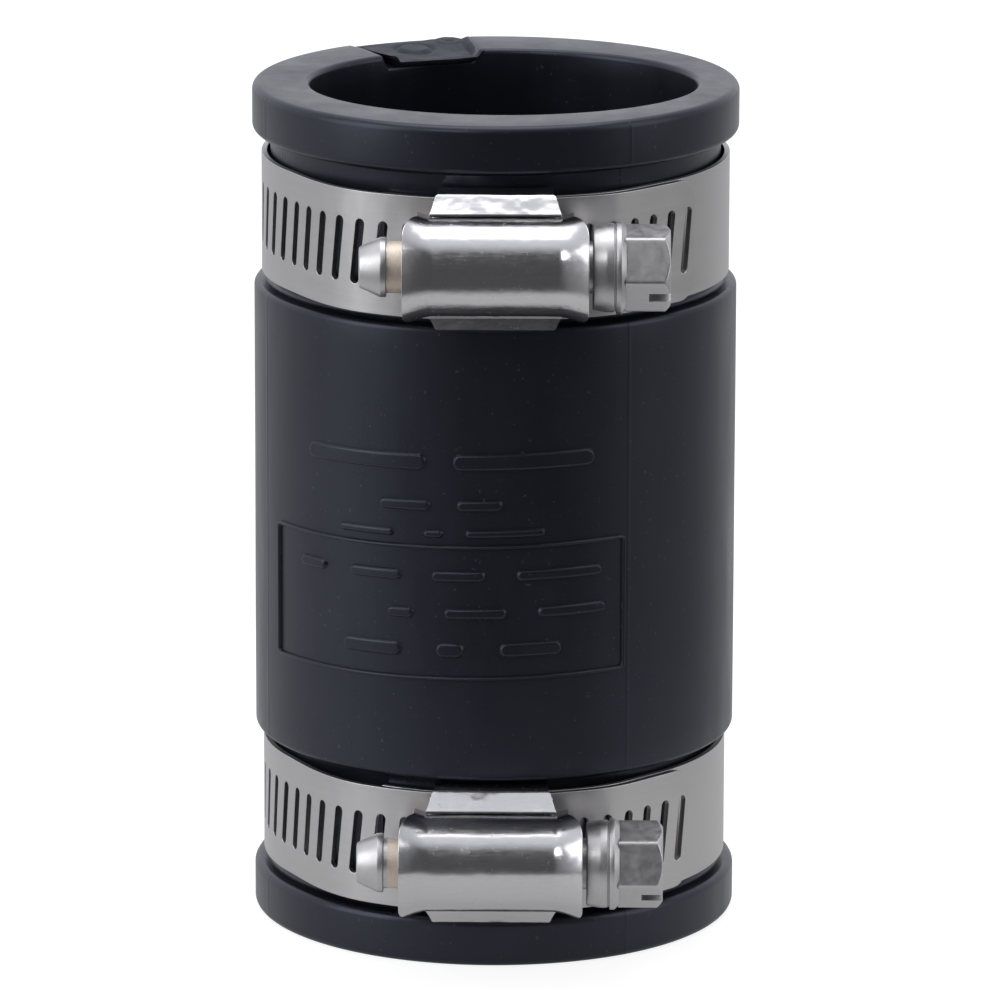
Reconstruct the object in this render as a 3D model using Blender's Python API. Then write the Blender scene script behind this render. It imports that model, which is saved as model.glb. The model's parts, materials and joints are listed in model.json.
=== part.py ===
"""Flexible rubber pipe coupling: a moulded sleeve and two worm-drive band clamps.

The sleeve stands on its lower rim with its axis along +Z. The clamps face -Y, with
their screws along X and the hex heads at +X. The origin is on the ground, midway
between the sleeve's back and the front of the clamp housings.
"""

import bisect
import math

import bmesh
import bpy
from mathutils import Matrix, Vector

MM = 0.001

# Gap left between separate pieces
CLEARANCE = 0.3 * MM

# Rubber sleeve: its slightly oval bore, and the walls beside the bore
BORE_HALF_WIDTH = 20.3 * MM
BORE_HALF_DEPTH = 17.9 * MM
RIM_WALL = 5.3 * MM
BODY_WALL = 5.15 * MM
GROOVE_WALL = 3.4 * MM
RIM_HEIGHT = 5.1 * MM
BODY_HEIGHT = 48.2 * MM
RIM_ROUND = 0.8 * MM
SHOULDER_ROUND = 0.6 * MM
BORE_ROUND = 0.5 * MM
GROOVE_ROUND = 0.5 * MM
SLEEVE_STEPS = 64

# Clamp band: a slotted strip wound once, overlapping at the front
BAND_WIDTH = 12.7 * MM
BAND_THICKNESS = 0.6 * MM
SLOT_WIDTH = 1.05 * MM
SLOT_LENGTH = 6.9 * MM
SLOT_OFFSET = 1.3 * MM
FIRST_SLOT = -19
LAST_SLOT = 8
TAIL_MARGIN = 1.3 * MM
TAIL_CORNER = 2.2 * MM
PLAIN_STEP = 3.6 * MM

# Angles round the clamp in degrees, from the screw towards the hex head
FIXED_END_ANGLE = -8.0
FLAT_ANGLE = 7.0
ROUND_ANGLE = 14.0
STEP_DOWN_START = 26.0
STEP_DOWN_END = 44.0
STEP_UP_START = -62.0
STEP_UP_END = -30.0
FULL_TURN = 360.0

# Saddle: the channel under the band, with ears crimped over the housing's feet
SADDLE_THICKNESS = 0.5 * MM
SADDLE_LEFT_ANGLE = -28.0
SADDLE_RIGHT_ANGLE = 24.0
EAR_HALF_LENGTH = 5.9 * MM
EAR_FLARE = 0.15
EAR_BEND = 0.35 * MM
EAR_TIP_RISE = 1.3 * MM

# Screw: nose, necks, worm, collar, flange and slotted hex head
WORM_PITCH = 2.7 * MM
WORM_RADIUS = 3.9 * MM
WORM_TOOTH_HEIGHT = 0.7 * MM
WORM_BITE = 0.45 * MM
WORM_HALF_LENGTH = 6.5 * MM
WORM_RUN_OUT = 0.8 * MM
TOOTH_TIP_WIDTH = 0.4 * MM
TOOTH_ROOT_WIDTH = 1.2 * MM
TOOTH_ROOT_SINK = 0.15 * MM
NECK_RADIUS = 2.6 * MM
NOSE_RADIUS = 3.05 * MM
NOSE_TIP_RADIUS = 2.0 * MM
NOSE_LENGTH = 2.8 * MM
NOSE_LAND = 0.6 * MM
NOSE_GAP = 1.6 * MM
COLLAR_GAP = 0.4 * MM
COLLAR_LENGTH = 2.4 * MM
COLLAR_INSET = 0.45 * MM
COLLAR_CHAMFER = 0.3 * MM
FLANGE_LENGTH = 1.0 * MM
FLANGE_INSET = 0.25 * MM
FLANGE_TAPER = 0.5 * MM
HEX_ACROSS_FLATS = 7.94 * MM
HEX_LENGTH = 4.5 * MM
HEX_CHAMFER = 0.45 * MM
DRIVER_SLOT_WIDTH = 1.2 * MM
DRIVER_SLOT_DEPTH = 2.2 * MM
DRIVER_SLOT_ANGLE = 60.0
UPPER_HEAD_TURN = 22.0
LOWER_HEAD_TURN = 15.0
SCREW_STEPS = 32
THREAD_STEPS = 18

# Housing: the formed sheet dome over the worm
HOUSING_THICKNESS = 0.6 * MM
HOUSING_CLEARANCE = 0.5 * MM
HOUSING_HALF_LENGTH = 9.5 * MM
HOUSING_FOOT_HALF = 6.4 * MM
HOUSING_BEND = 0.8 * MM
LIP_LENGTH = 2.3 * MM
LIP_FLARE = 0.18
LIP_DROP = 1.4 * MM
LIP_CORNER = 1.4 * MM
DOME_STEPS = 9

# How loosely each clamp sits: the groove's extra width, and the gap under the clamp
UPPER_GROOVE_PLAY = 1.7 * MM
LOWER_GROOVE_PLAY = 0.6 * MM
UPPER_CLAMP_GAP = 0.3 * MM
LOWER_CLAMP_GAP = 0.3 * MM
UPPER_CLAMP_TURN = 0.0
LOWER_CLAMP_TURN = -0.6

# Sleeve's outer radii
RIM_RADIUS = BORE_HALF_WIDTH + RIM_WALL
BODY_RADIUS = BORE_HALF_WIDTH + BODY_WALL
GROOVE_RADIUS = BORE_HALF_WIDTH + GROOVE_WALL

# Levels along the sleeve, whose grooves take a clamp with its ears
CLAMP_HALF_WIDTH = BAND_WIDTH / 2 + CLEARANCE + SADDLE_THICKNESS
LOWER_GROOVE_WIDTH = 2 * CLAMP_HALF_WIDTH + LOWER_GROOVE_PLAY
UPPER_GROOVE_WIDTH = 2 * CLAMP_HALF_WIDTH + UPPER_GROOVE_PLAY
LOWER_GROOVE_TOP = RIM_HEIGHT + LOWER_GROOVE_WIDTH
UPPER_GROOVE_BASE = LOWER_GROOVE_TOP + BODY_HEIGHT
UPPER_RIM_BASE = UPPER_GROOVE_BASE + UPPER_GROOVE_WIDTH
SLEEVE_HEIGHT = UPPER_RIM_BASE + RIM_HEIGHT
LOWER_CLAMP_HEIGHT = RIM_HEIGHT + LOWER_CLAMP_GAP + CLAMP_HALF_WIDTH
UPPER_CLAMP_HEIGHT = UPPER_GROOVE_BASE + UPPER_CLAMP_GAP + CLAMP_HALF_WIDTH

# Layers under the worm, as distances from the sleeve's axis to their middles
SADDLE_DEPTH = GROOVE_RADIUS + CLEARANCE + SADDLE_THICKNESS / 2
FIRST_LAYER_DEPTH = SADDLE_DEPTH + SADDLE_THICKNESS / 2 + CLEARANCE + BAND_THICKNESS / 2
SECOND_LAYER_DEPTH = FIRST_LAYER_DEPTH + BAND_THICKNESS + CLEARANCE
SECOND_LAYER_TOP = SECOND_LAYER_DEPTH + BAND_THICKNESS / 2
BAND_PLAIN_RADIUS = GROOVE_RADIUS + CLEARANCE + BAND_THICKNESS / 2
TAIL_RADIUS = BAND_PLAIN_RADIUS + BAND_THICKNESS + CLEARANCE

# Screw and housing, seated on those layers
SCREW_DEPTH = SECOND_LAYER_TOP - WORM_BITE + WORM_RADIUS
WORM_CORE_RADIUS = WORM_RADIUS - WORM_TOOTH_HEIGHT
HOUSING_RADIUS = WORM_RADIUS + HOUSING_CLEARANCE + HOUSING_THICKNESS
FOOT_DEPTH = SECOND_LAYER_TOP + CLEARANCE + HOUSING_THICKNESS / 2
COLLAR_RADIUS = HOUSING_RADIUS - COLLAR_INSET
FLANGE_RADIUS = HOUSING_RADIUS - FLANGE_INSET
HEX_START = HOUSING_HALF_LENGTH + COLLAR_GAP + COLLAR_LENGTH + FLANGE_LENGTH
EAR_WALL = CLAMP_HALF_WIDTH - SADDLE_THICKNESS / 2
EAR_TOP_DEPTH = FOOT_DEPTH + HOUSING_THICKNESS / 2 + SADDLE_THICKNESS / 2
EAR_END = HOUSING_RADIUS + 1.5 * CLEARANCE

# How far the sleeve's axis lies behind the origin
DOME_RADIUS = HOUSING_RADIUS - HOUSING_THICKNESS / 2
FRONT_REACH = SCREW_DEPTH + DOME_RADIUS * (1 + LIP_FLARE) + HOUSING_THICKNESS / 2
SLEEVE_AXIS_Y = (FRONT_REACH - RIM_RADIUS) / 2

RUBBER_COLOUR = (0.022, 0.023, 0.026)
BAND_COLOUR = (0.62, 0.61, 0.59)
HOUSING_COLOUR = (0.66, 0.65, 0.63)
SCREW_COLOUR = (0.60, 0.58, 0.54)


def clear_scene():
    for item in list(bpy.data.objects):
        bpy.data.objects.remove(item, do_unlink=True)


def make_material(name, colour, roughness, metallic):
    material = bpy.data.materials.new(name)
    material.use_nodes = True
    shader = material.node_tree.nodes["Principled BSDF"]
    shader.inputs["Base Color"].default_value = (*colour, 1.0)
    shader.inputs["Roughness"].default_value = roughness
    shader.inputs["Metallic"].default_value = metallic
    return material


def finish_mesh(bm, name, material):
    """Weld a bmesh, point its faces outwards and wrap it in an object."""
    bmesh.ops.remove_doubles(bm, verts=bm.verts, dist=0.002 * MM)
    bmesh.ops.recalc_face_normals(bm, faces=bm.faces)
    mesh = bpy.data.meshes.new(name)
    bm.to_mesh(mesh)
    bm.free()
    mesh.materials.append(material)
    mesh.shade_smooth()
    mesh.set_sharp_from_angle(angle=math.radians(32))
    item = bpy.data.objects.new(name, mesh)
    bpy.context.scene.collection.objects.link(item)
    return item


def make_helper(item):
    """Keep a cutting or joining shape out of the finished part."""
    item.hide_render = True
    item.display_type = "WIRE"
    return item


def add_boolean(item, operation, helper):
    modifier = item.modifiers.new(helper.name, "BOOLEAN")
    modifier.operation = operation
    modifier.solver = "EXACT"
    modifier.object = helper


def smooth_step(value, start, end):
    """Ease from 0 at start to 1 at end."""
    share = min(max((value - start) / (end - start), 0.0), 1.0)
    return share * share * (3.0 - 2.0 * share)


def mix(first, second, share):
    return first + (second - first) * share


def rounded_corner(before, corner, after, radius, steps):
    """Points of the arc that rounds one corner of a flat outline."""
    to_before = (before - corner).normalized()
    to_after = (after - corner).normalized()
    half = to_before.angle(to_after) / 2
    start = corner + to_before * (radius / math.tan(half))
    end = corner + to_after * (radius / math.tan(half))
    centre = corner + (to_before + to_after).normalized() * (radius / math.sin(half))
    first = math.atan2(start.y - centre.y, start.x - centre.x)
    last = math.atan2(end.y - centre.y, end.x - centre.x)
    sweep = math.remainder(last - first, 2 * math.pi)
    points = []
    for index in range(steps + 1):
        angle = first + sweep * index / steps
        points.append(centre + radius * Vector((math.cos(angle), math.sin(angle))))
    return points


def rounded_outline(corners):
    """Round the (x, y, radius, steps) corners of an outline; radius 0 stays sharp."""
    points = []
    count = len(corners)
    for index, (x, y, radius, steps) in enumerate(corners):
        here = Vector((x, y))
        if radius == 0:
            points.append(here)
            continue
        before = Vector(corners[index - 1][:2])
        after = Vector(corners[(index + 1) % count][:2])
        points += rounded_corner(before, here, after, radius, steps)
    return points


def spin_outline(bm, points, closed, axis, steps):
    """Turn an outline about an axis through the origin with Blender's spin."""
    verts = [bm.verts.new(point) for point in points]
    edges = [bm.edges.new(pair) for pair in zip(verts, verts[1:])]
    if closed:
        edges.append(bm.edges.new((verts[-1], verts[0])))
    bmesh.ops.spin(
        bm,
        geom=verts + edges,
        cent=(0, 0, 0),
        axis=axis,
        dvec=(0, 0, 0),
        angle=2 * math.pi,
        steps=steps,
        use_merge=True,
    )


# Sleeve


def sleeve_outline():
    """Half section of the sleeve: two rims, two clamp grooves and the body."""
    return rounded_outline(
        [
            (BORE_HALF_WIDTH, 0, BORE_ROUND, 2),
            (RIM_RADIUS, 0, RIM_ROUND, 2),
            (RIM_RADIUS, RIM_HEIGHT, RIM_ROUND, 2),
            (GROOVE_RADIUS, RIM_HEIGHT, GROOVE_ROUND, 1),
            (GROOVE_RADIUS, LOWER_GROOVE_TOP, GROOVE_ROUND, 1),
            (BODY_RADIUS, LOWER_GROOVE_TOP, SHOULDER_ROUND, 2),
            (BODY_RADIUS, UPPER_GROOVE_BASE, SHOULDER_ROUND, 2),
            (GROOVE_RADIUS, UPPER_GROOVE_BASE, GROOVE_ROUND, 1),
            (GROOVE_RADIUS, UPPER_RIM_BASE, GROOVE_ROUND, 1),
            (RIM_RADIUS, UPPER_RIM_BASE, RIM_ROUND, 2),
            (RIM_RADIUS, SLEEVE_HEIGHT, RIM_ROUND, 2),
            (BORE_HALF_WIDTH, SLEEVE_HEIGHT, BORE_ROUND, 2),
        ]
    )


def squeeze_bore(bm):
    """Make the bore oval, as the soft sleeve stands: less deep than it is wide."""
    bore_edge = BORE_HALF_WIDTH + BORE_ROUND
    for vert in bm.verts:
        if vert.co.xy.length < bore_edge + CLEARANCE / 10:
            vert.co.y *= BORE_HALF_DEPTH / BORE_HALF_WIDTH


def make_sleeve():
    bm = bmesh.new()
    points = [(point.x, 0, point.y) for point in sleeve_outline()]
    spin_outline(bm, points, True, (0, 0, 1), SLEEVE_STEPS)
    squeeze_bore(bm)
    material = make_material("black_rubber", RUBBER_COLOUR, 0.45, 0.0)
    return finish_mesh(bm, "sleeve", material)


# Formed sheet


class SheetPattern:
    """Flat pattern of a formed sheet: points that faces share, and the faces."""

    def __init__(self):
        self.points = []
        self.numbers = {}
        self.faces = []

    def point(self, along, across):
        key = (round(along / MM, 4), round(across / MM, 4))
        if key not in self.numbers:
            self.numbers[key] = len(self.points)
            self.points.append((along, across))
        return self.numbers[key]

    def strip(self, inner, outer):
        """Fill the strip between two rows of (along, across) points."""
        pairs = zip(inner, inner[1:], outer[1:], outer)
        for corners in pairs:
            self.faces.append([self.point(*corner) for corner in corners])

    def grid(self, columns, rows, keep):
        """Fill the cells of a grid that keep(column, row) accepts."""
        for left, right in zip(columns, columns[1:]):
            for low, high in zip(rows, rows[1:]):
                if keep((left + right) / 2, (low + high) / 2):
                    self.strip([(left, low), (left, high)], [(right, low), (right, high)])

    def solid(self, name, material, place):
        """Form the pattern: place(along, across, side) puts each of its two skins."""
        bm = bmesh.new()
        skins = []
        for side in (-1, 1):
            skins.append([bm.verts.new(place(*point, side)) for point in self.points])
        edges = set()
        for face in self.faces:
            edges.update(zip(face, face[1:] + face[:1]))
            bm.faces.new([skins[0][number] for number in face])
            bm.faces.new([skins[1][number] for number in reversed(face)])
        for first, second in edges:
            if (second, first) not in edges:
                wall = (skins[0][second], skins[0][first], skins[1][first], skins[1][second])
                bm.faces.new(wall)
        return finish_mesh(bm, name, material)


class ClampPath:
    """A line round the clamp, measured along its length from the zero angle."""

    def __init__(self, radius_at, start, end, zero, step=0.5):
        count = math.ceil((end - start) / step)
        self.spots = []
        for index in range(count + 1):
            degrees = start + (end - start) * index / count
            angle = math.radians(degrees)
            radius = radius_at(degrees)
            self.spots.append(Vector((math.sin(angle), -math.cos(angle))) * radius)
        self.lengths = [0.0]
        for here, there in zip(self.spots, self.spots[1:]):
            self.lengths.append(self.lengths[-1] + (there - here).length)
        self.start = -self.length_to(start, end, zero, count)
        self.lengths = [length + self.start for length in self.lengths]
        self.end = self.lengths[-1]

    def length_to(self, start, end, zero, count):
        share = (zero - start) / (end - start) * count
        index = min(int(share), count - 1)
        return mix(self.lengths[index], self.lengths[index + 1], share - index)

    def at(self, length):
        """Point and outward normal at a length along the line."""
        index = bisect.bisect_right(self.lengths, length) - 1
        index = min(max(index, 0), len(self.spots) - 2)
        gap = self.lengths[index + 1] - self.lengths[index]
        here = self.spots[index]
        there = self.spots[index + 1]
        point = here + (there - here) * ((length - self.lengths[index]) / gap)
        before = self.spots[max(index - 1, 0)]
        after = self.spots[min(index + 2, len(self.spots) - 1)]
        along = (after - before).normalized()
        return point, Vector((along.y, -along.x))


def flat_or_round(degrees, depth):
    """Radius of a layer that is flat under the worm and round beyond it."""
    flat = depth / math.cos(math.radians(min(abs(degrees), FLAT_ANGLE)))
    return mix(flat, depth, smooth_step(abs(degrees), FLAT_ANGLE, ROUND_ANGLE))


def layer_radius(degrees):
    """Radius of the band's middle, from its fixed end once round to its tail."""
    if degrees < FULL_TURN / 2:
        lifted = flat_or_round(degrees, FIRST_LAYER_DEPTH)
        share = smooth_step(degrees, STEP_DOWN_START, STEP_DOWN_END)
        return mix(lifted, BAND_PLAIN_RADIUS, share)
    degrees -= FULL_TURN
    lifted = flat_or_round(degrees, SECOND_LAYER_DEPTH)
    if degrees < 0:
        share = smooth_step(degrees, STEP_UP_START, STEP_UP_END)
        return mix(BAND_PLAIN_RADIUS, lifted, share)
    share = smooth_step(degrees, STEP_DOWN_START, STEP_DOWN_END)
    return mix(lifted, TAIL_RADIUS, share)


# Band


def slot_centre(number):
    return number * WORM_PITCH + SLOT_OFFSET


def slot_half(centre, side, steps):
    """Right (side 1) or left (side -1) half of a slanted round-ended slot."""
    slant = math.atan(WORM_PITCH / (2 * math.pi * (WORM_RADIUS - WORM_TOOTH_HEIGHT / 2)))
    radius = SLOT_WIDTH / 2
    reach = SLOT_LENGTH / 2 - radius
    points = []
    for end in (-1, 1):
        for index in range(steps + 1):
            share = index / steps if end > 0 else index / steps - 1
            angle = share * math.pi / 2
            across = side * radius * math.cos(angle)
            upward = end * reach + radius * math.sin(angle)
            along = centre + across * math.cos(slant) + upward * math.sin(slant)
            points.append((along, upward * math.cos(slant) - across * math.sin(slant)))
    return points


def tile_half(centre, side):
    """Outline of the strip round one half of a slot."""
    edge = centre + side * WORM_PITCH / 2
    top = BAND_WIDTH / 2
    inner = (SLOT_LENGTH - SLOT_WIDTH) / 2
    return [
        (centre, -top),
        (edge, -top),
        (edge, -inner),
        (edge, inner),
        (edge, top),
        (centre, top),
    ]


def tail_half(centre, steps):
    """Outline of the tail's end round the last slot, with rounded corners."""
    end = centre + TAIL_MARGIN
    middle = BAND_WIDTH / 2 - TAIL_CORNER
    upper = []
    for index in range(steps + 1):
        angle = index / steps * math.pi / 2
        along = end - TAIL_CORNER + TAIL_CORNER * math.cos(angle)
        upper.append((along, middle + TAIL_CORNER * math.sin(angle)))
    lower = [(along, -across) for along, across in reversed(upper)]
    return lower + upper


def band_pattern(path):
    pattern = SheetPattern()
    for number in range(FIRST_SLOT, LAST_SLOT):
        centre = slot_centre(number)
        for side in (-1, 1):
            pattern.strip(*in_order(slot_half(centre, side, 2), tile_half(centre, side), side))
    centre = slot_centre(LAST_SLOT)
    left = tile_half(centre, -1)
    left[0] = (centre + TAIL_MARGIN - TAIL_CORNER, -BAND_WIDTH / 2)
    left[-1] = (centre + TAIL_MARGIN - TAIL_CORNER, BAND_WIDTH / 2)
    pattern.strip(*in_order(slot_half(centre, -1, 2), left, -1))
    pattern.strip(*in_order(slot_half(centre, 1, 3), tail_half(centre, 3), 1))
    add_plain_length(pattern, path.start, slot_centre(FIRST_SLOT) - WORM_PITCH / 2)
    return pattern


def in_order(slot, outline, side):
    """Order two rows so that every face of the pattern turns the same way."""
    return (slot, outline) if side > 0 else (outline, slot)


def add_plain_length(pattern, start, end):
    count = math.ceil((end - start) / PLAIN_STEP)
    top = BAND_WIDTH / 2
    inner = (SLOT_LENGTH - SLOT_WIDTH) / 2
    columns = [mix(start, end, index / count) for index in range(count + 1)]
    pattern.grid(columns, [-top, -inner, inner, top], lambda along, across: True)


def make_band(prefix, material):
    tail_guess = FULL_TURN + STEP_DOWN_END + FULL_TURN / 12
    path = ClampPath(layer_radius, FIXED_END_ANGLE, tail_guess, FULL_TURN)

    def place(along, across, side):
        point, normal = path.at(along)
        point = point + normal * (side * BAND_THICKNESS / 2)
        return (point.x, point.y, across)

    return band_pattern(path).solid(prefix + "_band", material, place)


# Saddle and housing


def mirrored_profile(half):
    """Complete a profile that starts at across = 0 with its mirror image."""
    return [Vector((-point.x, point.y)) for point in reversed(half[1:])] + half


def profile_normals(points):
    normals = []
    for index, point in enumerate(points):
        before = points[max(index - 1, 0)]
        after = points[min(index + 1, len(points) - 1)]
        first = (point - before).normalized() if index else (after - point).normalized()
        second = (after - point).normalized() if after is not point else first
        along = (first + second).normalized()
        stretch = 1 / max(first.dot(along), 0.5)
        normals.append(Vector((-along.y, along.x)) * stretch)
    return normals


def saddle_profile():
    """Section of the channel: floor, upright ears, and tips folded inwards."""
    rise = EAR_TOP_DEPTH - SADDLE_DEPTH
    half = rounded_outline(
        [
            (0, 0, 0, 0),
            (EAR_WALL, 0, EAR_BEND, 2),
            (EAR_WALL, rise, EAR_BEND, 2),
            (EAR_END, rise + EAR_TIP_RISE, 0, 0),
        ]
    )
    return mirrored_profile(half)


def make_saddle(prefix, material):
    path = ClampPath(
        lambda degrees: flat_or_round(degrees, SADDLE_DEPTH),
        SADDLE_LEFT_ANGLE,
        SADDLE_RIGHT_ANGLE,
        0.0,
    )
    profile = saddle_profile()
    normals = profile_normals(profile)
    middle = len(profile) // 2
    floor_rows = 1.5
    fold_start = middle - 3

    columns = [-EAR_HALF_LENGTH, -EAR_HALF_LENGTH / 2, 0, EAR_HALF_LENGTH / 2, EAR_HALF_LENGTH]
    for share in (0.25, 0.5, 0.75, 1.0):
        columns.insert(0, mix(-EAR_HALF_LENGTH, path.start, share))
        columns.append(mix(EAR_HALF_LENGTH, path.end, share))

    pattern = SheetPattern()
    rows = [(index - middle) * MM for index in range(len(profile))]

    def keep(along, across):
        return abs(along) < EAR_HALF_LENGTH or abs(across) < floor_rows * MM

    pattern.grid(columns, rows, keep)

    def place(along, across, side):
        row = round(across / MM)
        offset = profile[row + middle] + normals[row + middle] * (side * SADDLE_THICKNESS / 2)
        if abs(row) < fold_start:
            point, normal = path.at(along)
            point = point + normal * offset.y
            return (point.x, point.y, offset.x)
        flare = 1 + EAR_FLARE * (abs(row) - fold_start) / (middle - fold_start)
        return (along * flare, -SADDLE_DEPTH - offset.y, offset.x)

    return pattern.solid(prefix + "_saddle", material, place)


def housing_profile():
    """Section of the housing: dome, side walls, and feet turned outwards."""
    foot = FOOT_DEPTH - SCREW_DEPTH
    half = []
    for index in range(DOME_STEPS + 1):
        angle = index / DOME_STEPS * math.pi / 2
        half.append(DOME_RADIUS * Vector((math.sin(angle), math.cos(angle))))
    half.append(Vector((DOME_RADIUS, -LIP_DROP)))
    corner = Vector((DOME_RADIUS, foot))
    foot_end = Vector((BAND_WIDTH / 2, foot))
    half += rounded_corner(half[-1], corner, foot_end, HOUSING_BEND, 2)
    half.append(foot_end)
    return mirrored_profile(half)


def lip_reach(row):
    """Share of the lip's length that is left at a row near its rounded corner."""
    free_edge = DOME_STEPS + 1
    fall = {free_edge: 1.0, free_edge - 1: 0.35, free_edge - 2: 0.08}.get(abs(row), 0.0)
    return 1 - fall * LIP_CORNER / LIP_LENGTH


def make_housing(prefix, material):
    profile = housing_profile()
    normals = profile_normals(profile)
    middle = len(profile) // 2
    lip_start = HOUSING_HALF_LENGTH - LIP_LENGTH
    free_edge = DOME_STEPS + 1

    half = [HOUSING_FOOT_HALF / 2, HOUSING_FOOT_HALF]
    half += [lip_start + LIP_LENGTH * share for share in (0.0, 0.35, 0.7, 1.0)]
    columns = [-along for along in reversed(half)] + [0.0] + half
    rows = [(index - middle) * MM for index in range(len(profile))]

    def keep(along, across):
        return abs(along) < HOUSING_FOOT_HALF or abs(across) < free_edge * MM

    pattern = SheetPattern()
    pattern.grid(columns, rows, keep)

    def place(along, across, side):
        row = round(across / MM)
        beyond = max(abs(along) - lip_start, 0.0)
        growth = 1 + LIP_FLARE * smooth_step(beyond, 0.0, LIP_LENGTH)
        offset = profile[row + middle] * growth
        offset = offset - normals[row + middle] * (side * HOUSING_THICKNESS / 2)
        reach = abs(along) - beyond + beyond * lip_reach(row)
        return (math.copysign(reach, along), -SCREW_DEPTH - offset.y, offset.x)

    return pattern.solid(prefix + "_housing", material, place)


# Screw


def screw_outline():
    """Half section of the screw's turned shape, along X from nose to hex."""
    nose_back = -HOUSING_HALF_LENGTH - NOSE_GAP
    nose_tip = nose_back - NOSE_LENGTH
    collar = HOUSING_HALF_LENGTH + COLLAR_GAP
    flange = collar + COLLAR_LENGTH
    flange_edge = flange + FLANGE_LENGTH - FLANGE_TAPER
    root = HEX_START + HEX_LENGTH / 4
    root_radius = HEX_ACROSS_FLATS / 2 - HEX_CHAMFER
    return [
        (nose_tip, 0),
        (nose_tip, NOSE_TIP_RADIUS),
        (nose_back - NOSE_LAND, NOSE_RADIUS),
        (nose_back, NOSE_RADIUS),
        (nose_back, NECK_RADIUS),
        (-WORM_HALF_LENGTH, NECK_RADIUS),
        (-WORM_HALF_LENGTH, WORM_CORE_RADIUS),
        (WORM_HALF_LENGTH, WORM_CORE_RADIUS),
        (WORM_HALF_LENGTH, NECK_RADIUS),
        (collar, NECK_RADIUS),
        (collar, COLLAR_RADIUS - COLLAR_CHAMFER),
        (collar + COLLAR_CHAMFER, COLLAR_RADIUS),
        (flange, COLLAR_RADIUS),
        (flange, FLANGE_RADIUS),
        (flange_edge, FLANGE_RADIUS),
        (HEX_START, FLANGE_RADIUS - FLANGE_TAPER),
        (HEX_START, root_radius),
        (root, root_radius),
        (root, 0),
    ]


def make_worm_tooth(prefix, material):
    """Right-handed tooth in step with the band's slots, fading out at both ends."""
    limit = WORM_HALF_LENGTH - WORM_RUN_OUT
    turn = 2 * math.pi / WORM_PITCH
    first = (-limit - SLOT_OFFSET) * turn
    last = (limit - SLOT_OFFSET) * turn
    count = round((last - first) / (2 * math.pi) * THREAD_STEPS)
    root = WORM_CORE_RADIUS - TOOTH_ROOT_SINK
    fade = math.pi / 3

    bm = bmesh.new()
    rings = []
    for index in range(count + 1):
        angle = mix(first, last, index / count)
        height = smooth_step(min(angle - first, last - angle), 0.0, fade)
        tip = mix(root + TOOTH_ROOT_SINK / 2, WORM_RADIUS, height)
        centre = SLOT_OFFSET + angle / turn
        corners = [
            (-TOOTH_ROOT_WIDTH / 2, root),
            (-TOOTH_TIP_WIDTH / 2, tip),
            (TOOTH_TIP_WIDTH / 2, tip),
            (TOOTH_ROOT_WIDTH / 2, root),
        ]
        ring = []
        for along, radius in corners:
            spot = (centre + along, radius * math.cos(angle), radius * math.sin(angle))
            ring.append(bm.verts.new(spot))
        rings.append(ring)
    for here, there in zip(rings, rings[1:]):
        for index in range(4):
            after = (index + 1) % 4
            bm.faces.new((here[index], here[after], there[after], there[index]))
    bm.faces.new(rings[0])
    bm.faces.new(rings[-1])
    return make_helper(finish_mesh(bm, prefix + "_worm_tooth", material))


def make_hex_head(prefix, turn, material):
    """Hexagon turned from one face to the front, its end trimmed to a turned chamfer."""
    start = HEX_START - CLEARANCE / 3
    length = HEX_START + HEX_LENGTH - start
    end = start + length
    corner = HEX_ACROSS_FLATS / math.sqrt(3)

    bm = bmesh.new()
    ring = []
    for index in range(6):
        angle = math.radians(60 * index + turn)
        ring.append(bm.verts.new((start, corner * math.sin(angle), corner * math.cos(angle))))
    base = bm.faces.new(ring)
    grown = bmesh.ops.extrude_face_region(bm, geom=[base])["geom"]
    verts = [item for item in grown if isinstance(item, bmesh.types.BMVert)]
    bmesh.ops.translate(bm, verts=verts, vec=(length, 0, 0))
    head = make_helper(finish_mesh(bm, prefix + "_hex_head", material))

    blank = bmesh.new()
    outline = [
        (start - HEX_CHAMFER, 0),
        (start - HEX_CHAMFER, corner + HEX_CHAMFER),
        (end - HEX_CHAMFER, corner + HEX_CHAMFER / 8),
        (end + HEX_CHAMFER / 4, corner - HEX_CHAMFER * 1.6),
        (end + HEX_CHAMFER / 4, 0),
    ]
    spin_outline(blank, [(x, 0, r) for x, r in outline], False, (1, 0, 0), SCREW_STEPS)
    trimmer = make_helper(finish_mesh(blank, prefix + "_hex_blank", material))
    add_boolean(head, "INTERSECT", trimmer)
    return [head, trimmer]


def make_driver_slot(prefix, turn, material):
    """Cutter for the screwdriver slot across the hex head."""
    bm = bmesh.new()
    bmesh.ops.create_cube(bm, size=1.0)
    length = 2 * DRIVER_SLOT_DEPTH
    size = Matrix.Diagonal((length, 2 * HEX_ACROSS_FLATS, DRIVER_SLOT_WIDTH, 1.0))
    rotation = Matrix.Rotation(math.radians(DRIVER_SLOT_ANGLE - turn), 4, "X")
    shift = Matrix.Translation((HEX_START + HEX_LENGTH, 0, 0))
    bmesh.ops.transform(bm, matrix=shift @ rotation @ size, verts=bm.verts)
    return make_helper(finish_mesh(bm, prefix + "_driver_slot", material))


def make_screw(prefix, head_turn, material):
    bm = bmesh.new()
    points = [(x, 0, radius) for x, radius in screw_outline()]
    spin_outline(bm, points, False, (1, 0, 0), SCREW_STEPS)
    screw = finish_mesh(bm, prefix + "_screw", material)
    tooth = make_worm_tooth(prefix, material)
    head, trimmer = make_hex_head(prefix, head_turn, material)
    slot = make_driver_slot(prefix, head_turn, material)
    add_boolean(screw, "UNION", tooth)
    add_boolean(screw, "UNION", head)
    add_boolean(screw, "DIFFERENCE", slot)
    return [screw, tooth, head, trimmer, slot]


# Assembly


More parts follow.
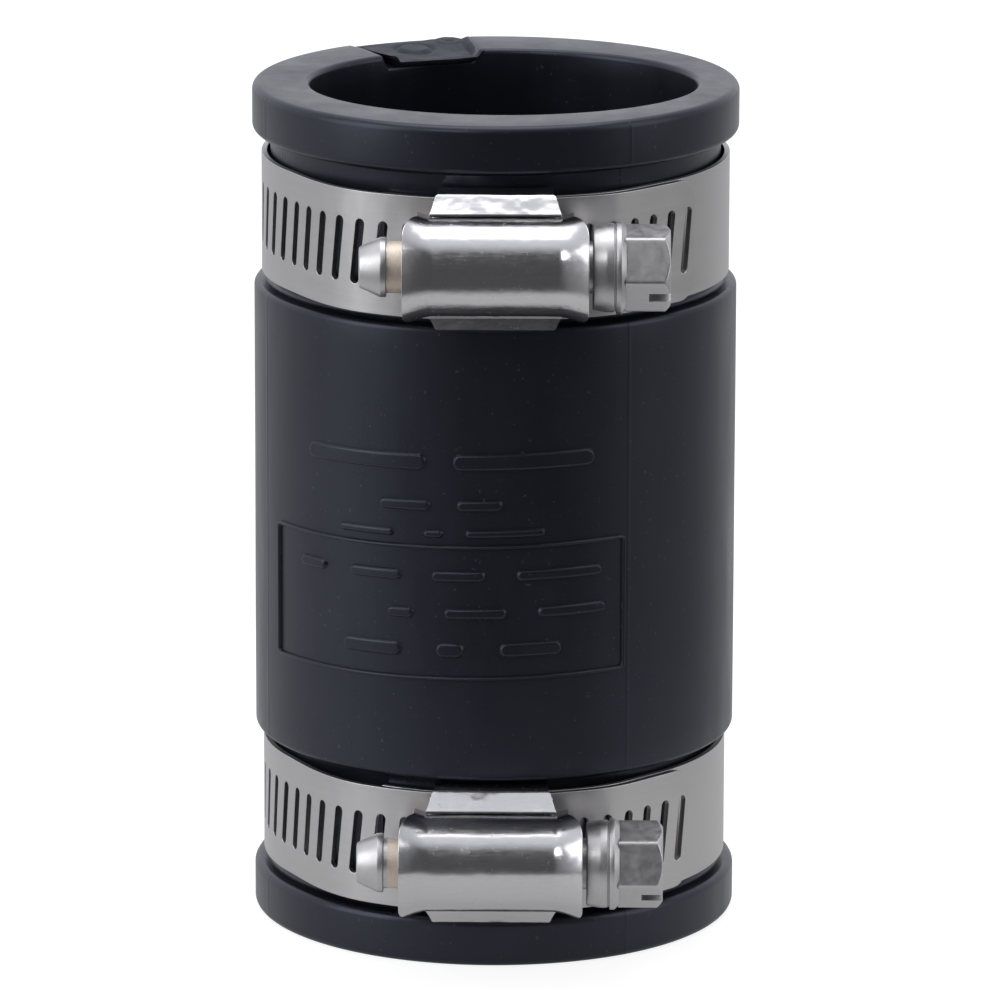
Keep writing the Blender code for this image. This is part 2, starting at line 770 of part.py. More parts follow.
def make_pivot(name, location, parent=None):
    pivot = bpy.data.objects.new(name, None)
    pivot.location = location
    pivot.parent = parent
    bpy.context.scene.collection.objects.link(pivot)
    return pivot


def make_clamp(prefix, axis, height, turn, head_turn):
    """One clamp on its own pivot: band, saddle and housing turn about the sleeve."""
    band_steel = make_material(prefix + "_band_steel", BAND_COLOUR, 0.32, 1.0)
    saddle_steel = make_material(prefix + "_saddle_steel", BAND_COLOUR, 0.34, 1.0)
    housing_steel = make_material(prefix + "_housing_steel", HOUSING_COLOUR, 0.18, 1.0)
    screw_steel = make_material(prefix + "_screw_steel", SCREW_COLOUR, 0.38, 1.0)

    pivot = make_pivot(prefix + "_clamp_pivot", (0, 0, height), axis)
    screw_pivot = make_pivot(prefix + "_screw_pivot", (0, -SCREW_DEPTH, 0), pivot)
    make_band(prefix, band_steel).parent = pivot
    make_saddle(prefix, saddle_steel).parent = pivot
    make_housing(prefix, housing_steel).parent = pivot
    for item in make_screw(prefix, head_turn, screw_steel):
        item.parent = screw_pivot
    pivot.rotation_euler = (0, 0, math.radians(turn))


def main():
    clear_scene()
    axis = make_pivot("sleeve_axis", (0, SLEEVE_AXIS_Y, 0))
    make_sleeve().parent = axis
    make_clamp("upper", axis, UPPER_CLAMP_HEIGHT, UPPER_CLAMP_TURN, UPPER_HEAD_TURN)
    make_clamp("lower", axis, LOWER_CLAMP_HEIGHT, LOWER_CLAMP_TURN, LOWER_HEAD_TURN)


main()
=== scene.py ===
"""Looks of the flexible rubber pipe coupling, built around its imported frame.

Lengths are in metres. The sleeve's axis is vertical, the clamps face -Y and their
screws lie along X with the hex heads at +X.
"""

import bisect
import json
import math

import bmesh
import bpy
from bpy.props import FloatProperty, FloatVectorProperty, PointerProperty
from mathutils import Matrix, Vector, noise


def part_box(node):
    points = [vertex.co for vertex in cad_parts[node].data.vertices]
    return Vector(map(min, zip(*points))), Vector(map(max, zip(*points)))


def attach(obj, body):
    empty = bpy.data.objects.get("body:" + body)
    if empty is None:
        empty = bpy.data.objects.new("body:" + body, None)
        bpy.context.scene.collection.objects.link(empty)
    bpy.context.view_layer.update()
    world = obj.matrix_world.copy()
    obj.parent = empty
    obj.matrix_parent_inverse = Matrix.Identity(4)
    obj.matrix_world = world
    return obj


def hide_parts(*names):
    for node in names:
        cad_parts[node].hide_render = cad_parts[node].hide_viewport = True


bl_info = {
    "name": "Rubber pipe coupling",
    "version": (1, 0, 0),
    "blender": (4, 5, 0),
    "location": "View3D > Sidebar > Coupling",
    "description": "Builds a rubber pipe coupling and its two band clamps around a packed frame",
    "category": "Object",
}

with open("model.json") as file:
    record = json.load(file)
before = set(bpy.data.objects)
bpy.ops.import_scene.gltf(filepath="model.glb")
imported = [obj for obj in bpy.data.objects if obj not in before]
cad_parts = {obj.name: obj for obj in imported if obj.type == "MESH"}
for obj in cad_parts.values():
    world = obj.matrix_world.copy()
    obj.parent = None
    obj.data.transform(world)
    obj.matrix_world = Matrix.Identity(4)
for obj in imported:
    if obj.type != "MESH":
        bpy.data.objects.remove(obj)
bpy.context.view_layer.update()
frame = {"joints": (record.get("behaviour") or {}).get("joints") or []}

MM = 0.001
SLEEVE_LOW, SLEEVE_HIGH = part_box("sleeve")
AXIS_Y = (SLEEVE_LOW.y + SLEEVE_HIGH.y) / 2
RIM_RADIUS = (SLEEVE_HIGH.x - SLEEVE_LOW.x) / 2
SLEEVE_HEIGHT = SLEEVE_HIGH.z
JOINTS = {joint["name"]: joint for joint in frame["joints"]}
BAND_LOW, BAND_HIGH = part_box("upper_band")
BAND_WIDTH = BAND_HIGH.z - BAND_LOW.z
HOUSING_LOW, HOUSING_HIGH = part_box("upper_housing")
HOUSING_HALF_LENGTH = (HOUSING_HIGH.x - HOUSING_LOW.x) / 2
SCREW_LOW, SCREW_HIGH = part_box("upper_screw")
SCREW_DEPTH = AXIS_Y - JOINTS["upper_screw_turn"]["pos_m"][1]
CLAMPS = ("upper", "lower")


class SleeveSettings(bpy.types.PropertyGroup):
    """Sizes and colour of the rubber sleeve."""

    bore_half_width: FloatProperty(
        name="Bore half width", description="Half of the oval bore across the front",
        default=20.3 * MM, unit="LENGTH")
    bore_half_depth: FloatProperty(
        name="Bore half depth", description="Half of the oval bore from front to back",
        default=17.9 * MM, unit="LENGTH")
    body_step: FloatProperty(
        name="Body step", description="How far the body lies inside the rims",
        default=0.15 * MM, unit="LENGTH")
    groove_depth: FloatProperty(
        name="Groove depth", description="Depth of the clamp grooves below the rims",
        default=1.9 * MM, unit="LENGTH")
    rim_height: FloatProperty(
        name="Rim height", description="Height of each raised rim",
        default=5.1 * MM, unit="LENGTH")
    body_low: FloatProperty(
        name="Body low", description="Height of the body's lower shoulder",
        default=20.0 * MM, unit="LENGTH")
    body_high: FloatProperty(
        name="Body high", description="Height of the body's upper shoulder",
        default=68.2 * MM, unit="LENGTH")
    edge_round: FloatProperty(
        name="Edge round", description="Radius along the rims' edges",
        default=0.8 * MM, unit="LENGTH")
    mark_height: FloatProperty(
        name="Mark height", description="How far the moulded marks stand out",
        default=0.34 * MM, unit="LENGTH")
    colour: FloatVectorProperty(
        name="Rubber", description="Colour of the moulded rubber",
        default=(0.0105, 0.0108, 0.0155), subtype="COLOR", size=3)


class ClampSettings(bpy.types.PropertyGroup):
    """Sizes and colours of the two band clamps."""

    band_thickness: FloatProperty(
        name="Band thickness", description="Thickness of the slotted strip",
        default=0.6 * MM, unit="LENGTH")
    slot_length: FloatProperty(
        name="Slot length", description="Length of each slanted slot",
        default=6.9 * MM, unit="LENGTH")
    slot_width: FloatProperty(
        name="Slot width", description="Width of each slanted slot",
        default=1.05 * MM, unit="LENGTH")
    pitch: FloatProperty(
        name="Pitch", description="Distance from slot to slot, the worm's lead",
        default=2.7 * MM, unit="LENGTH")
    hex_across_flats: FloatProperty(
        name="Hex size", description="Hex head across its flats",
        default=7.94 * MM, unit="LENGTH")
    band_colour: FloatVectorProperty(
        name="Band steel", description="Colour of the rolled strip",
        default=(0.50, 0.49, 0.49), subtype="COLOR", size=3)
    housing_colour: FloatVectorProperty(
        name="Housing steel", description="Colour of the pressed housing",
        default=(0.62, 0.61, 0.62), subtype="COLOR", size=3)
    screw_colour: FloatVectorProperty(
        name="Screw steel", description="Colour of the plated screw",
        default=(0.56, 0.55, 0.555), subtype="COLOR", size=3)


CLEARANCE = 0.3 * MM
WELD = 0.001 * MM
BLACK, WHITE = (0.0, 0.0, 0.0), (1.0, 1.0, 1.0)


def sleeve_settings():
    return bpy.context.scene.coupling_sleeve


def clamp_settings():
    return bpy.context.scene.coupling_clamps


# Shader expressions


NOISE_LOW, NOISE_HIGH = 0.3, 0.7


class Socket:
    """A node's output socket, with Python's operators turned into Math nodes."""

    def __init__(self, tree, link):
        self.tree = tree
        self.link = link

    def math(self, operation, *values):
        return node(self.tree, "ShaderNodeMath", {"operation": operation}, (self, *values))

    def __add__(self, other):
        return self.math("ADD", other)

    def __radd__(self, other):
        return self.math("ADD", other)

    def __sub__(self, other):
        return self.math("SUBTRACT", other)

    def __rsub__(self, other):
        return node(self.tree, "ShaderNodeMath", {"operation": "SUBTRACT"}, (other, self))

    def __mul__(self, other):
        return self.math("MULTIPLY", other)

    def __rmul__(self, other):
        return self.math("MULTIPLY", other)


def node(tree, kind, settings, values, output=0):
    """Add a node, set its settings, feed its sockets and give one of its outputs."""
    made = tree.nodes.new(kind)
    for name, value in settings.items():
        if name == "stops":
            set_stops(made.color_ramp, value)
        else:
            setattr(made, name, value)
    pairs = values.items() if isinstance(values, dict) else enumerate(values)
    for name, value in pairs:
        if isinstance(value, Socket):
            tree.links.new(value.link, made.inputs[name])
        else:
            made.inputs[name].default_value = value
    return Socket(tree, made.outputs[output])


def set_stops(ramp, stops):
    while len(ramp.elements) < len(stops):
        ramp.elements.new(1.0)
    for element, (place, value) in zip(ramp.elements, stops):
        element.position = place
        element.color = (value, value, value, 1.0)


def new_material(name, colour, roughness, metallic):
    """A material with a Principled shader, and that shader."""
    material = bpy.data.materials.new(name)
    material.use_nodes = True
    shader = material.node_tree.nodes["Principled BSDF"]
    shader.inputs["Base Color"].default_value = (*colour, 1.0)
    shader.inputs["Roughness"].default_value = roughness
    shader.inputs["Metallic"].default_value = metallic
    return material, shader


def feed(shader, name, value):
    shader.id_data.links.new(value.link, shader.inputs[name])


def place_of(tree, mapping_scale=(1.0, 1.0, 1.0)):
    """Object coordinates, which ride with the piece, stretched by a scale."""
    spot = node(tree, "ShaderNodeTexCoord", {}, {}, "Object")
    return node(
        tree, "ShaderNodeVectorMath", {"operation": "MULTIPLY"}, {0: spot, 1: mapping_scale})


def parts_of(tree, kind="Object"):
    """X, Y and Z of one kind of texture coordinates."""
    spot = node(tree, "ShaderNodeTexCoord", {}, {}, kind)
    split = node(tree, "ShaderNodeSeparateXYZ", {}, {"Vector": spot}).link.node
    return [Socket(tree, split.outputs[axis]) for axis in "XYZ"]


def noise_at(tree, place, scale, detail, roughness=0.5, distortion=0.0):
    values = {"Vector": place, "Scale": scale, "Detail": detail, "Roughness": roughness}
    values["Distortion"] = distortion
    return node(tree, "ShaderNodeTexNoise", {}, values, "Fac")


def ramp_of(tree, factor, stops):
    return node(tree, "ShaderNodeValToRGB", {"stops": stops}, {"Fac": factor}, "Color")


def peaks(tree, factor, low, high):
    """0 up to low and 1 from high on, for spots and scratches out of a noise."""
    return ramp_of(tree, factor, [(low, 0.0), (high, 1.0)])


def remap(tree, value, low, high, out_low, out_high):
    values = {"Value": value, "From Min": low, "From Max": high, "To Min": out_low, "To Max": out_high}
    return node(tree, "ShaderNodeMapRange", {}, values, "Result")


def from_noise(tree, value, low, high):
    """Spread the values that a noise mostly gives over the range from low to high."""
    return remap(tree, value, NOISE_LOW, NOISE_HIGH, low, high)


def mix_colour(tree, factor, first, second):
    return node(
        tree, "ShaderNodeMix", {"data_type": "RGBA"},
        {"Factor": factor, 6: rgba(first), 7: rgba(second)}, 2)


def rgba(colour):
    return colour if isinstance(colour, Socket) else (*colour, 1.0)


def toned(colour, factor):
    """A darker or paler tone of a colour."""
    return [min(factor * part, 1.0) for part in colour]


def bump(tree, height, distance, strength=1.0, normal=None):
    values = {"Height": height, "Distance": distance, "Strength": strength}
    if normal is not None:
        values["Normal"] = normal
    return node(tree, "ShaderNodeBump", {}, values, "Normal")


# Materials


DUST_COLOUR = (0.075, 0.078, 0.088)
RUBBER_SHEEN = (0.74, 0.79, 1.0, 1.0)
MOULDED_ROUGHNESS, CUT_ROUGHNESS = (0.25, 0.40), (0.46, 0.66)
MOULDED_GRAIN, CUT_GRAIN = 0.012 * MM, 0.05 * MM
RUBBER_WAVE = 0.10 * MM
BAND_GRAIN = 0.010 * MM
HOUSING_WAVE, SADDLE_WAVE = 0.16 * MM, 0.5 * MM
RUB_GRAIN = 0.004 * MM
SCREW_GRAIN = 0.02 * MM
NECK_EDGE, NECK_FADE = 0.15 * MM, 1.0 * MM
BARE_DARK, BARE_PALE = (0.52, 0.44, 0.37), (0.98, 0.88, 0.77)


def rubber_material(name="moulded_rubber", rough=False):
    """Satin black rubber: fine mould grain, faint flow streaks, scuffs and dust."""
    settings = sleeve_settings()
    material, shader = new_material(name, settings.colour, 0.42, 0.0)
    tree = material.node_tree
    place = place_of(tree)
    streaks = noise_at(tree, place_of(tree, (1.0, 1.0, 0.22)), 260.0, 4.0, 0.6)
    grain = noise_at(tree, place, 5200.0, 3.0, 0.6)
    cloud = noise_at(tree, place, 75.0, 3.0)
    rubbed = noise_at(tree, place_of(tree, (1.0, 1.0, 3.2)), 900.0, 5.0, 0.72)
    scuffs = peaks(tree, rubbed, 0.62, 0.74)
    specks = peaks(tree, noise_at(tree, place, 2300.0, 1.0, 0.4), 0.73, 0.77)
    dust = scuffs * 0.16 + specks * 0.45
    base = mix_colour(tree, cloud, toned(settings.colour, 0.8), toned(settings.colour, 1.3))
    feed(shader, "Base Color", mix_colour(tree, dust, base, DUST_COLOUR))
    shader.inputs["Specular Tint"].default_value = RUBBER_SHEEN
    low, high = CUT_ROUGHNESS if rough else MOULDED_ROUGHNESS
    gloss = from_noise(tree, streaks * 0.7 + cloud * 0.3, low, high)
    feed(shader, "Roughness", gloss + dust * 0.25)
    waves = bump(tree, cloud, RUBBER_WAVE, 0.35)
    depth = CUT_GRAIN if rough else MOULDED_GRAIN
    feed(shader, "Normal", bump(tree, grain, depth, 0.55, waves))
    return material


def around_place(tree, turns_per_metre, across_per_metre):
    """Coordinates that run round the sleeve's axis in X and up it in Z."""
    x, y, z = parts_of(tree)
    along = x.math("ARCTAN2", y - AXIS_Y) * (RIM_RADIUS * turns_per_metre)
    values = {"X": along, "Y": 0.0, "Z": z * across_per_metre}
    return node(tree, "ShaderNodeCombineXYZ", {}, values, "Vector")


def band_material():
    """Rolled stainless strip: grain along its length, thin scratches, dull shine."""
    settings = clamp_settings()
    material, shader = new_material("rolled_band_steel", settings.band_colour, 0.3, 1.0)
    tree = material.node_tree
    grain = noise_at(tree, around_place(tree, 90.0, 9000.0), 1.0, 3.0, 0.65)
    broad = noise_at(tree, around_place(tree, 60.0, 1500.0), 1.0, 2.0)
    cloud = noise_at(tree, place_of(tree), 120.0, 3.0)
    thin = noise_at(tree, around_place(tree, 380.0, 260.0), 1.0, 6.0, 0.8, 1.5)
    scratches = peaks(tree, thin, 0.64, 0.67)
    tone = grain * 0.45 + broad * 0.35 + cloud * 0.2
    dark = toned(settings.band_colour, 0.84)
    light = toned(settings.band_colour, 1.12)
    feed(shader, "Base Color", mix_colour(tree, tone, dark, light))
    feed(shader, "Roughness", from_noise(tree, tone, 0.27, 0.40) + scratches * 0.12)
    feed(shader, "Normal", bump(tree, grain * 0.7 + broad * 0.3, BAND_GRAIN, 0.5))
    return material


def housing_material(name="pressed_housing_steel", wave=HOUSING_WAVE):
    """Bright pressed stainless: slightly wavy, with fine rub marks."""
    settings = clamp_settings()
    material, shader = new_material(name, settings.housing_colour, 0.15, 1.0)
    tree = material.node_tree
    waves = noise_at(tree, place_of(tree), 330.0, 2.0, 0.4)
    rub = noise_at(tree, place_of(tree, (0.12, 1.0, 1.0)), 5200.0, 3.0, 0.6)
    spots = peaks(tree, noise_at(tree, place_of(tree), 1500.0, 4.0, 0.7), 0.60, 0.72)
    dark = toned(settings.housing_colour, 0.86)
    feed(shader, "Base Color", mix_colour(tree, rub * 0.6 + spots * 0.3, settings.housing_colour, dark))
    feed(shader, "Roughness", from_noise(tree, rub, 0.14, 0.24) + spots * 0.12)
    wavy = bump(tree, waves, wave, 0.5)
    feed(shader, "Normal", bump(tree, rub, RUB_GRAIN, 0.5, wavy))
    return material


def screw_material():
    """Plated steel with a grainy, tumbled skin, browner on the bare neck."""
    settings = clamp_settings()
    material, shader = new_material("plated_screw_steel", settings.screw_colour, 0.34, 1.0)
    tree = material.node_tree
    place = place_of(tree)
    grain = noise_at(tree, place, 4200.0, 3.0, 0.65)
    coarse = noise_at(tree, place, 1100.0, 3.0)
    x = parts_of(tree)[0]
    neck_end = -HOUSING_HALF_LENGTH - NOSE_GAP
    neck = remap(tree, x, neck_end, neck_end + NECK_EDGE, 0.0, 1.0)
    neck = neck * remap(tree, x, 0.0, NECK_FADE, 1.0, 0.0)
    skin = grain * 0.6 + coarse * 0.4
    dark = toned(settings.screw_colour, 0.78)
    pale = toned(settings.screw_colour, 1.15)
    steel = mix_colour(tree, skin, dark, pale)
    bare = mix_colour(tree, skin, BARE_DARK, BARE_PALE)
    feed(shader, "Base Color", mix_colour(tree, neck, steel, bare))
    feed(shader, "Roughness", from_noise(tree, coarse, 0.34, 0.46) + neck * 0.2)
    feed(shader, "Normal", bump(tree, grain * 0.5 + coarse * 0.5, SCREW_GRAIN, 0.45))
    return material


# Shapes


def smooth_step(value, start, end):
    """Ease from 0 at start to 1 at end."""
    share = min(max((value - start) / (end - start), 0.0), 1.0)
    return share * share * (3.0 - 2.0 * share)


def window(value, rise, fall):
    """Ease from 0 up to 1 between the two values of rise, and back to 0 between those of fall."""
    return smooth_step(value, *rise) * (1 - smooth_step(value, *fall))


def bell(distance, width):
    """1 at no distance, and next to nothing at twice the width."""
    return math.exp(-((distance / width) ** 2))


def mix(first, second, share):
    return first + (second - first) * share


def rounded_corner(before, corner, after, radius, steps):
    """Points of the arc that rounds one corner of a flat outline."""
    to_before = (before - corner).normalized()
    to_after = (after - corner).normalized()
    half = to_before.angle(to_after) / 2
    start = corner + to_before * (radius / math.tan(half))
    end = corner + to_after * (radius / math.tan(half))
    centre = corner + (to_before + to_after).normalized() * (radius / math.sin(half))
    first = math.atan2(start.y - centre.y, start.x - centre.x)
    last = math.atan2(end.y - centre.y, end.x - centre.x)
    sweep = math.remainder(last - first, 2 * math.pi)
    points = []
    for index in range(steps + 1):
        angle = first + sweep * index / steps
        points.append(centre + radius * Vector((math.cos(angle), math.sin(angle))))
    return points


def rounded_outline(corners):
    """Round the (x, y, radius, steps) corners of an outline; radius 0 stays sharp."""
    points = []
    count = len(corners)
    for index, (x, y, radius, steps) in enumerate(corners):
        here = Vector((x, y))
        if radius == 0:
            points.append(here)
            continue
        before = Vector(corners[index - 1][:2])
        after = Vector(corners[(index + 1) % count][:2])
        points += rounded_corner(before, here, after, radius, steps)
    return points


def finish_piece(bm, name, material, sharp_degrees=35.0):
    """Weld a bmesh, point its faces outwards and make it a smooth-shaded piece."""
    bmesh.ops.remove_doubles(bm, verts=bm.verts, dist=WELD)
    bmesh.ops.recalc_face_normals(bm, faces=bm.faces)
    mesh = bpy.data.meshes.new(name)
    bm.to_mesh(mesh)
    bm.free()
    mesh.materials.append(material)
    mesh.shade_smooth()
    mesh.set_sharp_from_angle(angle=math.radians(sharp_degrees))
    piece = bpy.data.objects.new(name, mesh)
    bpy.context.scene.collection.objects.link(piece)
    return piece


def soften_edges(piece, width, segments, degrees=40.0):
    """Round a piece's sharp edges with a bevel."""
    modifier = piece.modifiers.new("worn_edges", "BEVEL")
    modifier.width = width
    modifier.segments = segments
    modifier.limit_method = "ANGLE"
    modifier.angle_limit = math.radians(degrees)
    modifier.harden_normals = True


def join_grid(bm, rows, close_rows=False, close_columns=False):
    """Faces between rows of vertices."""
    row_pairs = list(zip(rows, rows[1:]))
    if close_rows:
        row_pairs.append((rows[-1], rows[0]))
    for low, high in row_pairs:
        count = len(low)
        for index in range(count if close_columns else count - 1):
            after = (index + 1) % count
            bm.faces.new((low[index], low[after], high[after], high[index]))


def hand_over(piece, body, slot, *nodes):
    """Let a piece ride a body and stand for CAD nodes, which it hides; its slot is not used."""
    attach(piece, body)
    if nodes:
        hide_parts(*nodes)


# Sleeve


SLEEVE_STEPS = 360
SLEEVE_CELL = 2.2 * MM
GROOVE_ROUND = 0.5 * MM
SHOULDER_ROUND = 0.6 * MM
BORE_ROUND = 0.6 * MM
PARTING_ANGLES = (-70.0, 33.0, 110.0, 213.0)
PARTING_HALF_WIDTH = 0.16 * MM
PARTING_HEIGHT = 0.022 * MM
WAVE_HEIGHT = 0.035 * MM
WAVES_ROUND, WAVE_LENGTH = 1.7, 14 * MM
BORE_LEAN = Vector((0.8 * MM, -0.6 * MM, 0.0))
BORE_LEAN_DEPTH = 26 * MM


def sleeve_outline():
    """Half section of the sleeve: two rims, two clamp grooves and the body."""
    s = sleeve_settings()
    groove = RIM_RADIUS - s.groove_depth
    body = RIM_RADIUS - s.body_step
    upper_rim = SLEEVE_HEIGHT - s.rim_height
    # Each corner: radius, height, rounding and the steps of its arc
    return rounded_outline(
        [
            (s.bore_half_width, 0, BORE_ROUND, 5),
            (RIM_RADIUS, 0, s.edge_round, 8),
            (RIM_RADIUS, s.rim_height, s.edge_round, 8),
            (groove, s.rim_height, GROOVE_ROUND, 4),
            (groove, s.body_low, GROOVE_ROUND, 4),
            (body, s.body_low, SHOULDER_ROUND, 6),
            (body, s.body_high, SHOULDER_ROUND, 6),
            (groove, s.body_high, GROOVE_ROUND, 4),
            (groove, upper_rim, GROOVE_ROUND, 4),
            (RIM_RADIUS, upper_rim, s.edge_round, 8),
            (RIM_RADIUS, SLEEVE_HEIGHT, s.edge_round, 8),
            (s.bore_half_width, SLEEVE_HEIGHT, BORE_ROUND, 5),
        ]
    )


def fill_outline(points, longest):
    """Add points to the straight runs of a closed outline."""
    filled = []
    for here, there in zip(points, points[1:] + points[:1]):
        count = max(1, math.ceil((there - here).length / longest))
        for index in range(count):
            filled.append(here.lerp(there, index / count))
    return filled


def sleeve_angles():
    """Angles round the sleeve, denser at the mould's parting lines."""
    angles = {index * 360.0 / SLEEVE_STEPS for index in range(SLEEVE_STEPS)}
    step = math.degrees(PARTING_HALF_WIDTH / RIM_RADIUS)
    for centre in PARTING_ANGLES:
        for offset in (-1.0, -0.5, 0.0, 0.5, 1.0):
            angles.add(round((centre + offset * step) % 360.0, 4))
    return sorted(angles)


def parting_lift(degrees):
    """Height of the mould's parting ridge at an angle."""
    lift = 0.0
    for centre in PARTING_ANGLES:
        away = abs((degrees - centre + 180.0) % 360.0 - 180.0)
        share = math.radians(away) * RIM_RADIUS / PARTING_HALF_WIDTH
        lift = max(lift, PARTING_HEIGHT * (1 - share))
    return lift


def around(degrees, radius, height):
    """A point round the sleeve's axis, from the front (0) towards +X."""
    angle = math.radians(degrees)
    return Vector((radius * math.sin(angle), AXIS_Y - radius * math.cos(angle), height))


def bore_radius(degrees):
    """Radius of the oval bore at a bearing."""
    s = sleeve_settings()
    direction = around(degrees, 1.0, 0.0) - Vector((0.0, AXIS_Y, 0.0))
    return 1 / math.hypot(direction.x / s.bore_half_width, direction.y / s.bore_half_depth)


def bore_lean(height):
    """Shift of the bore near the upper rim, where the wall is thicker at the back left."""
    return BORE_LEAN * smooth_step(height, SLEEVE_HEIGHT - BORE_LEAN_DEPTH, SLEEVE_HEIGHT)


def outer_wave(degrees, height):
    """How far the moulded surface lies under its highest waves, and the parting ridge on it."""
    spot = around(degrees, 1.0, height)
    place = Vector((spot.x * WAVES_ROUND, spot.y * WAVES_ROUND, height / WAVE_LENGTH))
    wave = noise.noise(place)
    return parting_lift(degrees) - PARTING_HEIGHT - WAVE_HEIGHT * (0.5 - wave / 2)


def sleeve_spot(s, point, degrees):
    """Place of a point of the outline at a bearing."""
    radius = point.x
    if radius > RIM_RADIUS - s.groove_depth - GROOVE_ROUND:
        radius += outer_wave(degrees, point.y)
    spot = around(degrees, radius, point.y)
    if point.y > SLEEVE_HEIGHT - s.edge_round:
        share = (RIM_RADIUS - point.x) / (RIM_RADIUS - bore_radius(degrees))
        spot.z -= BED_DEPTH * patch_slope(degrees, min(max(share, 0.0), 1.0))
    if point.x < s.bore_half_width + BORE_ROUND + WELD:
        spot.y = AXIS_Y + (spot.y - AXIS_Y) * (s.bore_half_depth / s.bore_half_width)
        spot += bore_lean(point.y)
    return spot


def make_sleeve():
    """Turn the half section round the axis, with the oval bore and the patch's bed."""
    s = sleeve_settings()
    outline = fill_outline(sleeve_outline(), SLEEVE_CELL)
    bm = bmesh.new()
    rows = []
    for degrees in sleeve_angles():
        rows.append([bm.verts.new(sleeve_spot(s, point, degrees)) for point in outline])
    join_grid(bm, rows, close_rows=True, close_columns=True)
    piece = finish_piece(bm, "rubber_sleeve", rubber_material(), sharp_degrees=50.0)
    hand_over(piece, "sleeve", "black_rubber", "sleeve")


# Moulded marks


FRAME_LEFT, FRAME_RIGHT = -62.0, 31.6
FRAME_LOW, FRAME_HIGH = 31.3 * MM, 45.3 * MM
MARKS_SHIFT, MARKS_TILT = -0.13 * MM, 0.011 * MM
FRAME_CORNER, FRAME_CELL = 0.4 * MM, 0.7 * MM
LINE_WIDTH = 0.46 * MM
# Below 1 the lines are fuller than a half wave
LINE_FULLNESS = 0.6
BAR_CELL = 0.12 * MM
BAR_SHOULDER = 0.3 * MM
BAR_SINK = 0.1 * MM
# Each row of plain bars: height, width, then the angles where its bars start and end
BAR_ROWS = (
    (54.3, 1.9, (-49.0, -16.0), (-10.0, 24.0)),
    (49.7, 1.3, (-28.0, -15.0), (-9.0, 2.0)),
    (46.7, 1.0, (-39.0, -24.0), (-17.0, -12.0), (-7.0, 12.0)),
    (42.2, 1.3, (-52.0, -43.0), (-36.0, -22.0), (-15.0, -2.0), (5.0, 26.0)),
    (38.2, 1.3, (-26.0, -19.0), (-12.0, 3.0), (10.0, 27.0)),
    (34.3, 1.7, (-38.0, -22.0), (-14.0, -7.0), (1.0, 16.0)),
)


def on_body(degrees, radius, height):
    """A point of a mark on the body; the marks run up a little to the right."""
    return around(degrees, radius, height + MARKS_SHIFT + MARKS_TILT * degrees)


def ridge_section(width, height, steps=8):
    """Rounded section of a raised line: (across, lift) points."""
    points = []
    for index in range(steps + 1):
        share = 2 * index / steps - 1
        lift = math.cos(share * math.pi / 2) ** LINE_FULLNESS if abs(share) < 1 else 0.0
        points.append((share * width / 2, lift * height))
    return points


def add_ridge(bm, path, width, height, base):
    """Lay a rounded ridge along a closed path of flat points, wrapped round the body."""
    rows = []
    for index, here in enumerate(path):
        along = (path[(index + 1) % len(path)] - path[index - 1]).normalized()
        across = Vector((-along.y, along.x))
        row = []
        for offset, lift in ridge_section(width, height):
            spot = here + across * offset
            row.append(bm.verts.new(on_body(math.degrees(spot.x / base), base + lift, spot.y)))
        rows.append(row)
    join_grid(bm, rows, close_rows=True)


def frame_path(base):
    """Closed flat path of the frame with small rounded corners."""
    left = math.radians(FRAME_LEFT) * base
    right = math.radians(FRAME_RIGHT) * base
    corners = [(left, FRAME_LOW), (right, FRAME_LOW), (right, FRAME_HIGH), (left, FRAME_HIGH)]
    rounded = rounded_outline([(*corner, FRAME_CORNER, 4) for corner in corners])
    return fill_outline(rounded, FRAME_CELL)


def add_bar(bm, start, end, height, width, rise, base):
    """Low plain bar with rounded ends and a soft edge, laid round the body."""
    middle = (start + end) / 2
    half = math.radians(end - start) * base / 2
    reach = half - width / 2
    columns = math.ceil(2 * half / BAR_CELL)
    lanes = math.ceil(width / BAR_CELL)
    rows = []
    for column in range(columns + 1):
        along = mix(-half, half, column / columns)
        degrees = middle + math.degrees(along / base)
        row = []
        for lane in range(lanes + 1):
            across = mix(-width / 2, width / 2, lane / lanes)
            edge = width / 2 - math.hypot(max(abs(along) - reach, 0.0), across)
            sink = BAR_SINK * (1 - smooth_step(edge, 0.0, BAR_CELL))
            lift = rise * smooth_step(edge, 0.0, BAR_SHOULDER) - sink
            row.append(bm.verts.new(on_body(degrees, base + lift, height + across)))
        rows.append(row)
    join_grid(bm, rows)


def make_marks():
    """Plain moulded frame and bars on the front of the body."""
    s = sleeve_settings()
    base = RIM_RADIUS - s.body_step - PARTING_HEIGHT
    bm = bmesh.new()
    add_ridge(bm, frame_path(base), LINE_WIDTH, s.mark_height, base)
    for height, width, *bars in BAR_ROWS:
        for start, end in bars:
            add_bar(bm, start, end, height * MM, width * MM, s.mark_height, base)
    piece = finish_piece(bm, "moulded_marks", rubber_material("marked_rubber"), sharp_degrees=60.0)
    hand_over(piece, "sleeve", "black_rubber")


# Gate patch


# Bearings of the patch's right and left edges, and how far the left one slants towards the bore
PATCH_START, PATCH_END = 186.6, 217.6
PATCH_SLANT = 2.2
PATCH_COLUMNS, PATCH_STEPS = 170, 48
CUT_START, CUT_END = (PATCH_START, PATCH_START + 2.5), (PATCH_END - 0.5, PATCH_END + 1.5)
CUT_OUTER, CUT_INNER = 0.26 * MM, 0.42 * MM
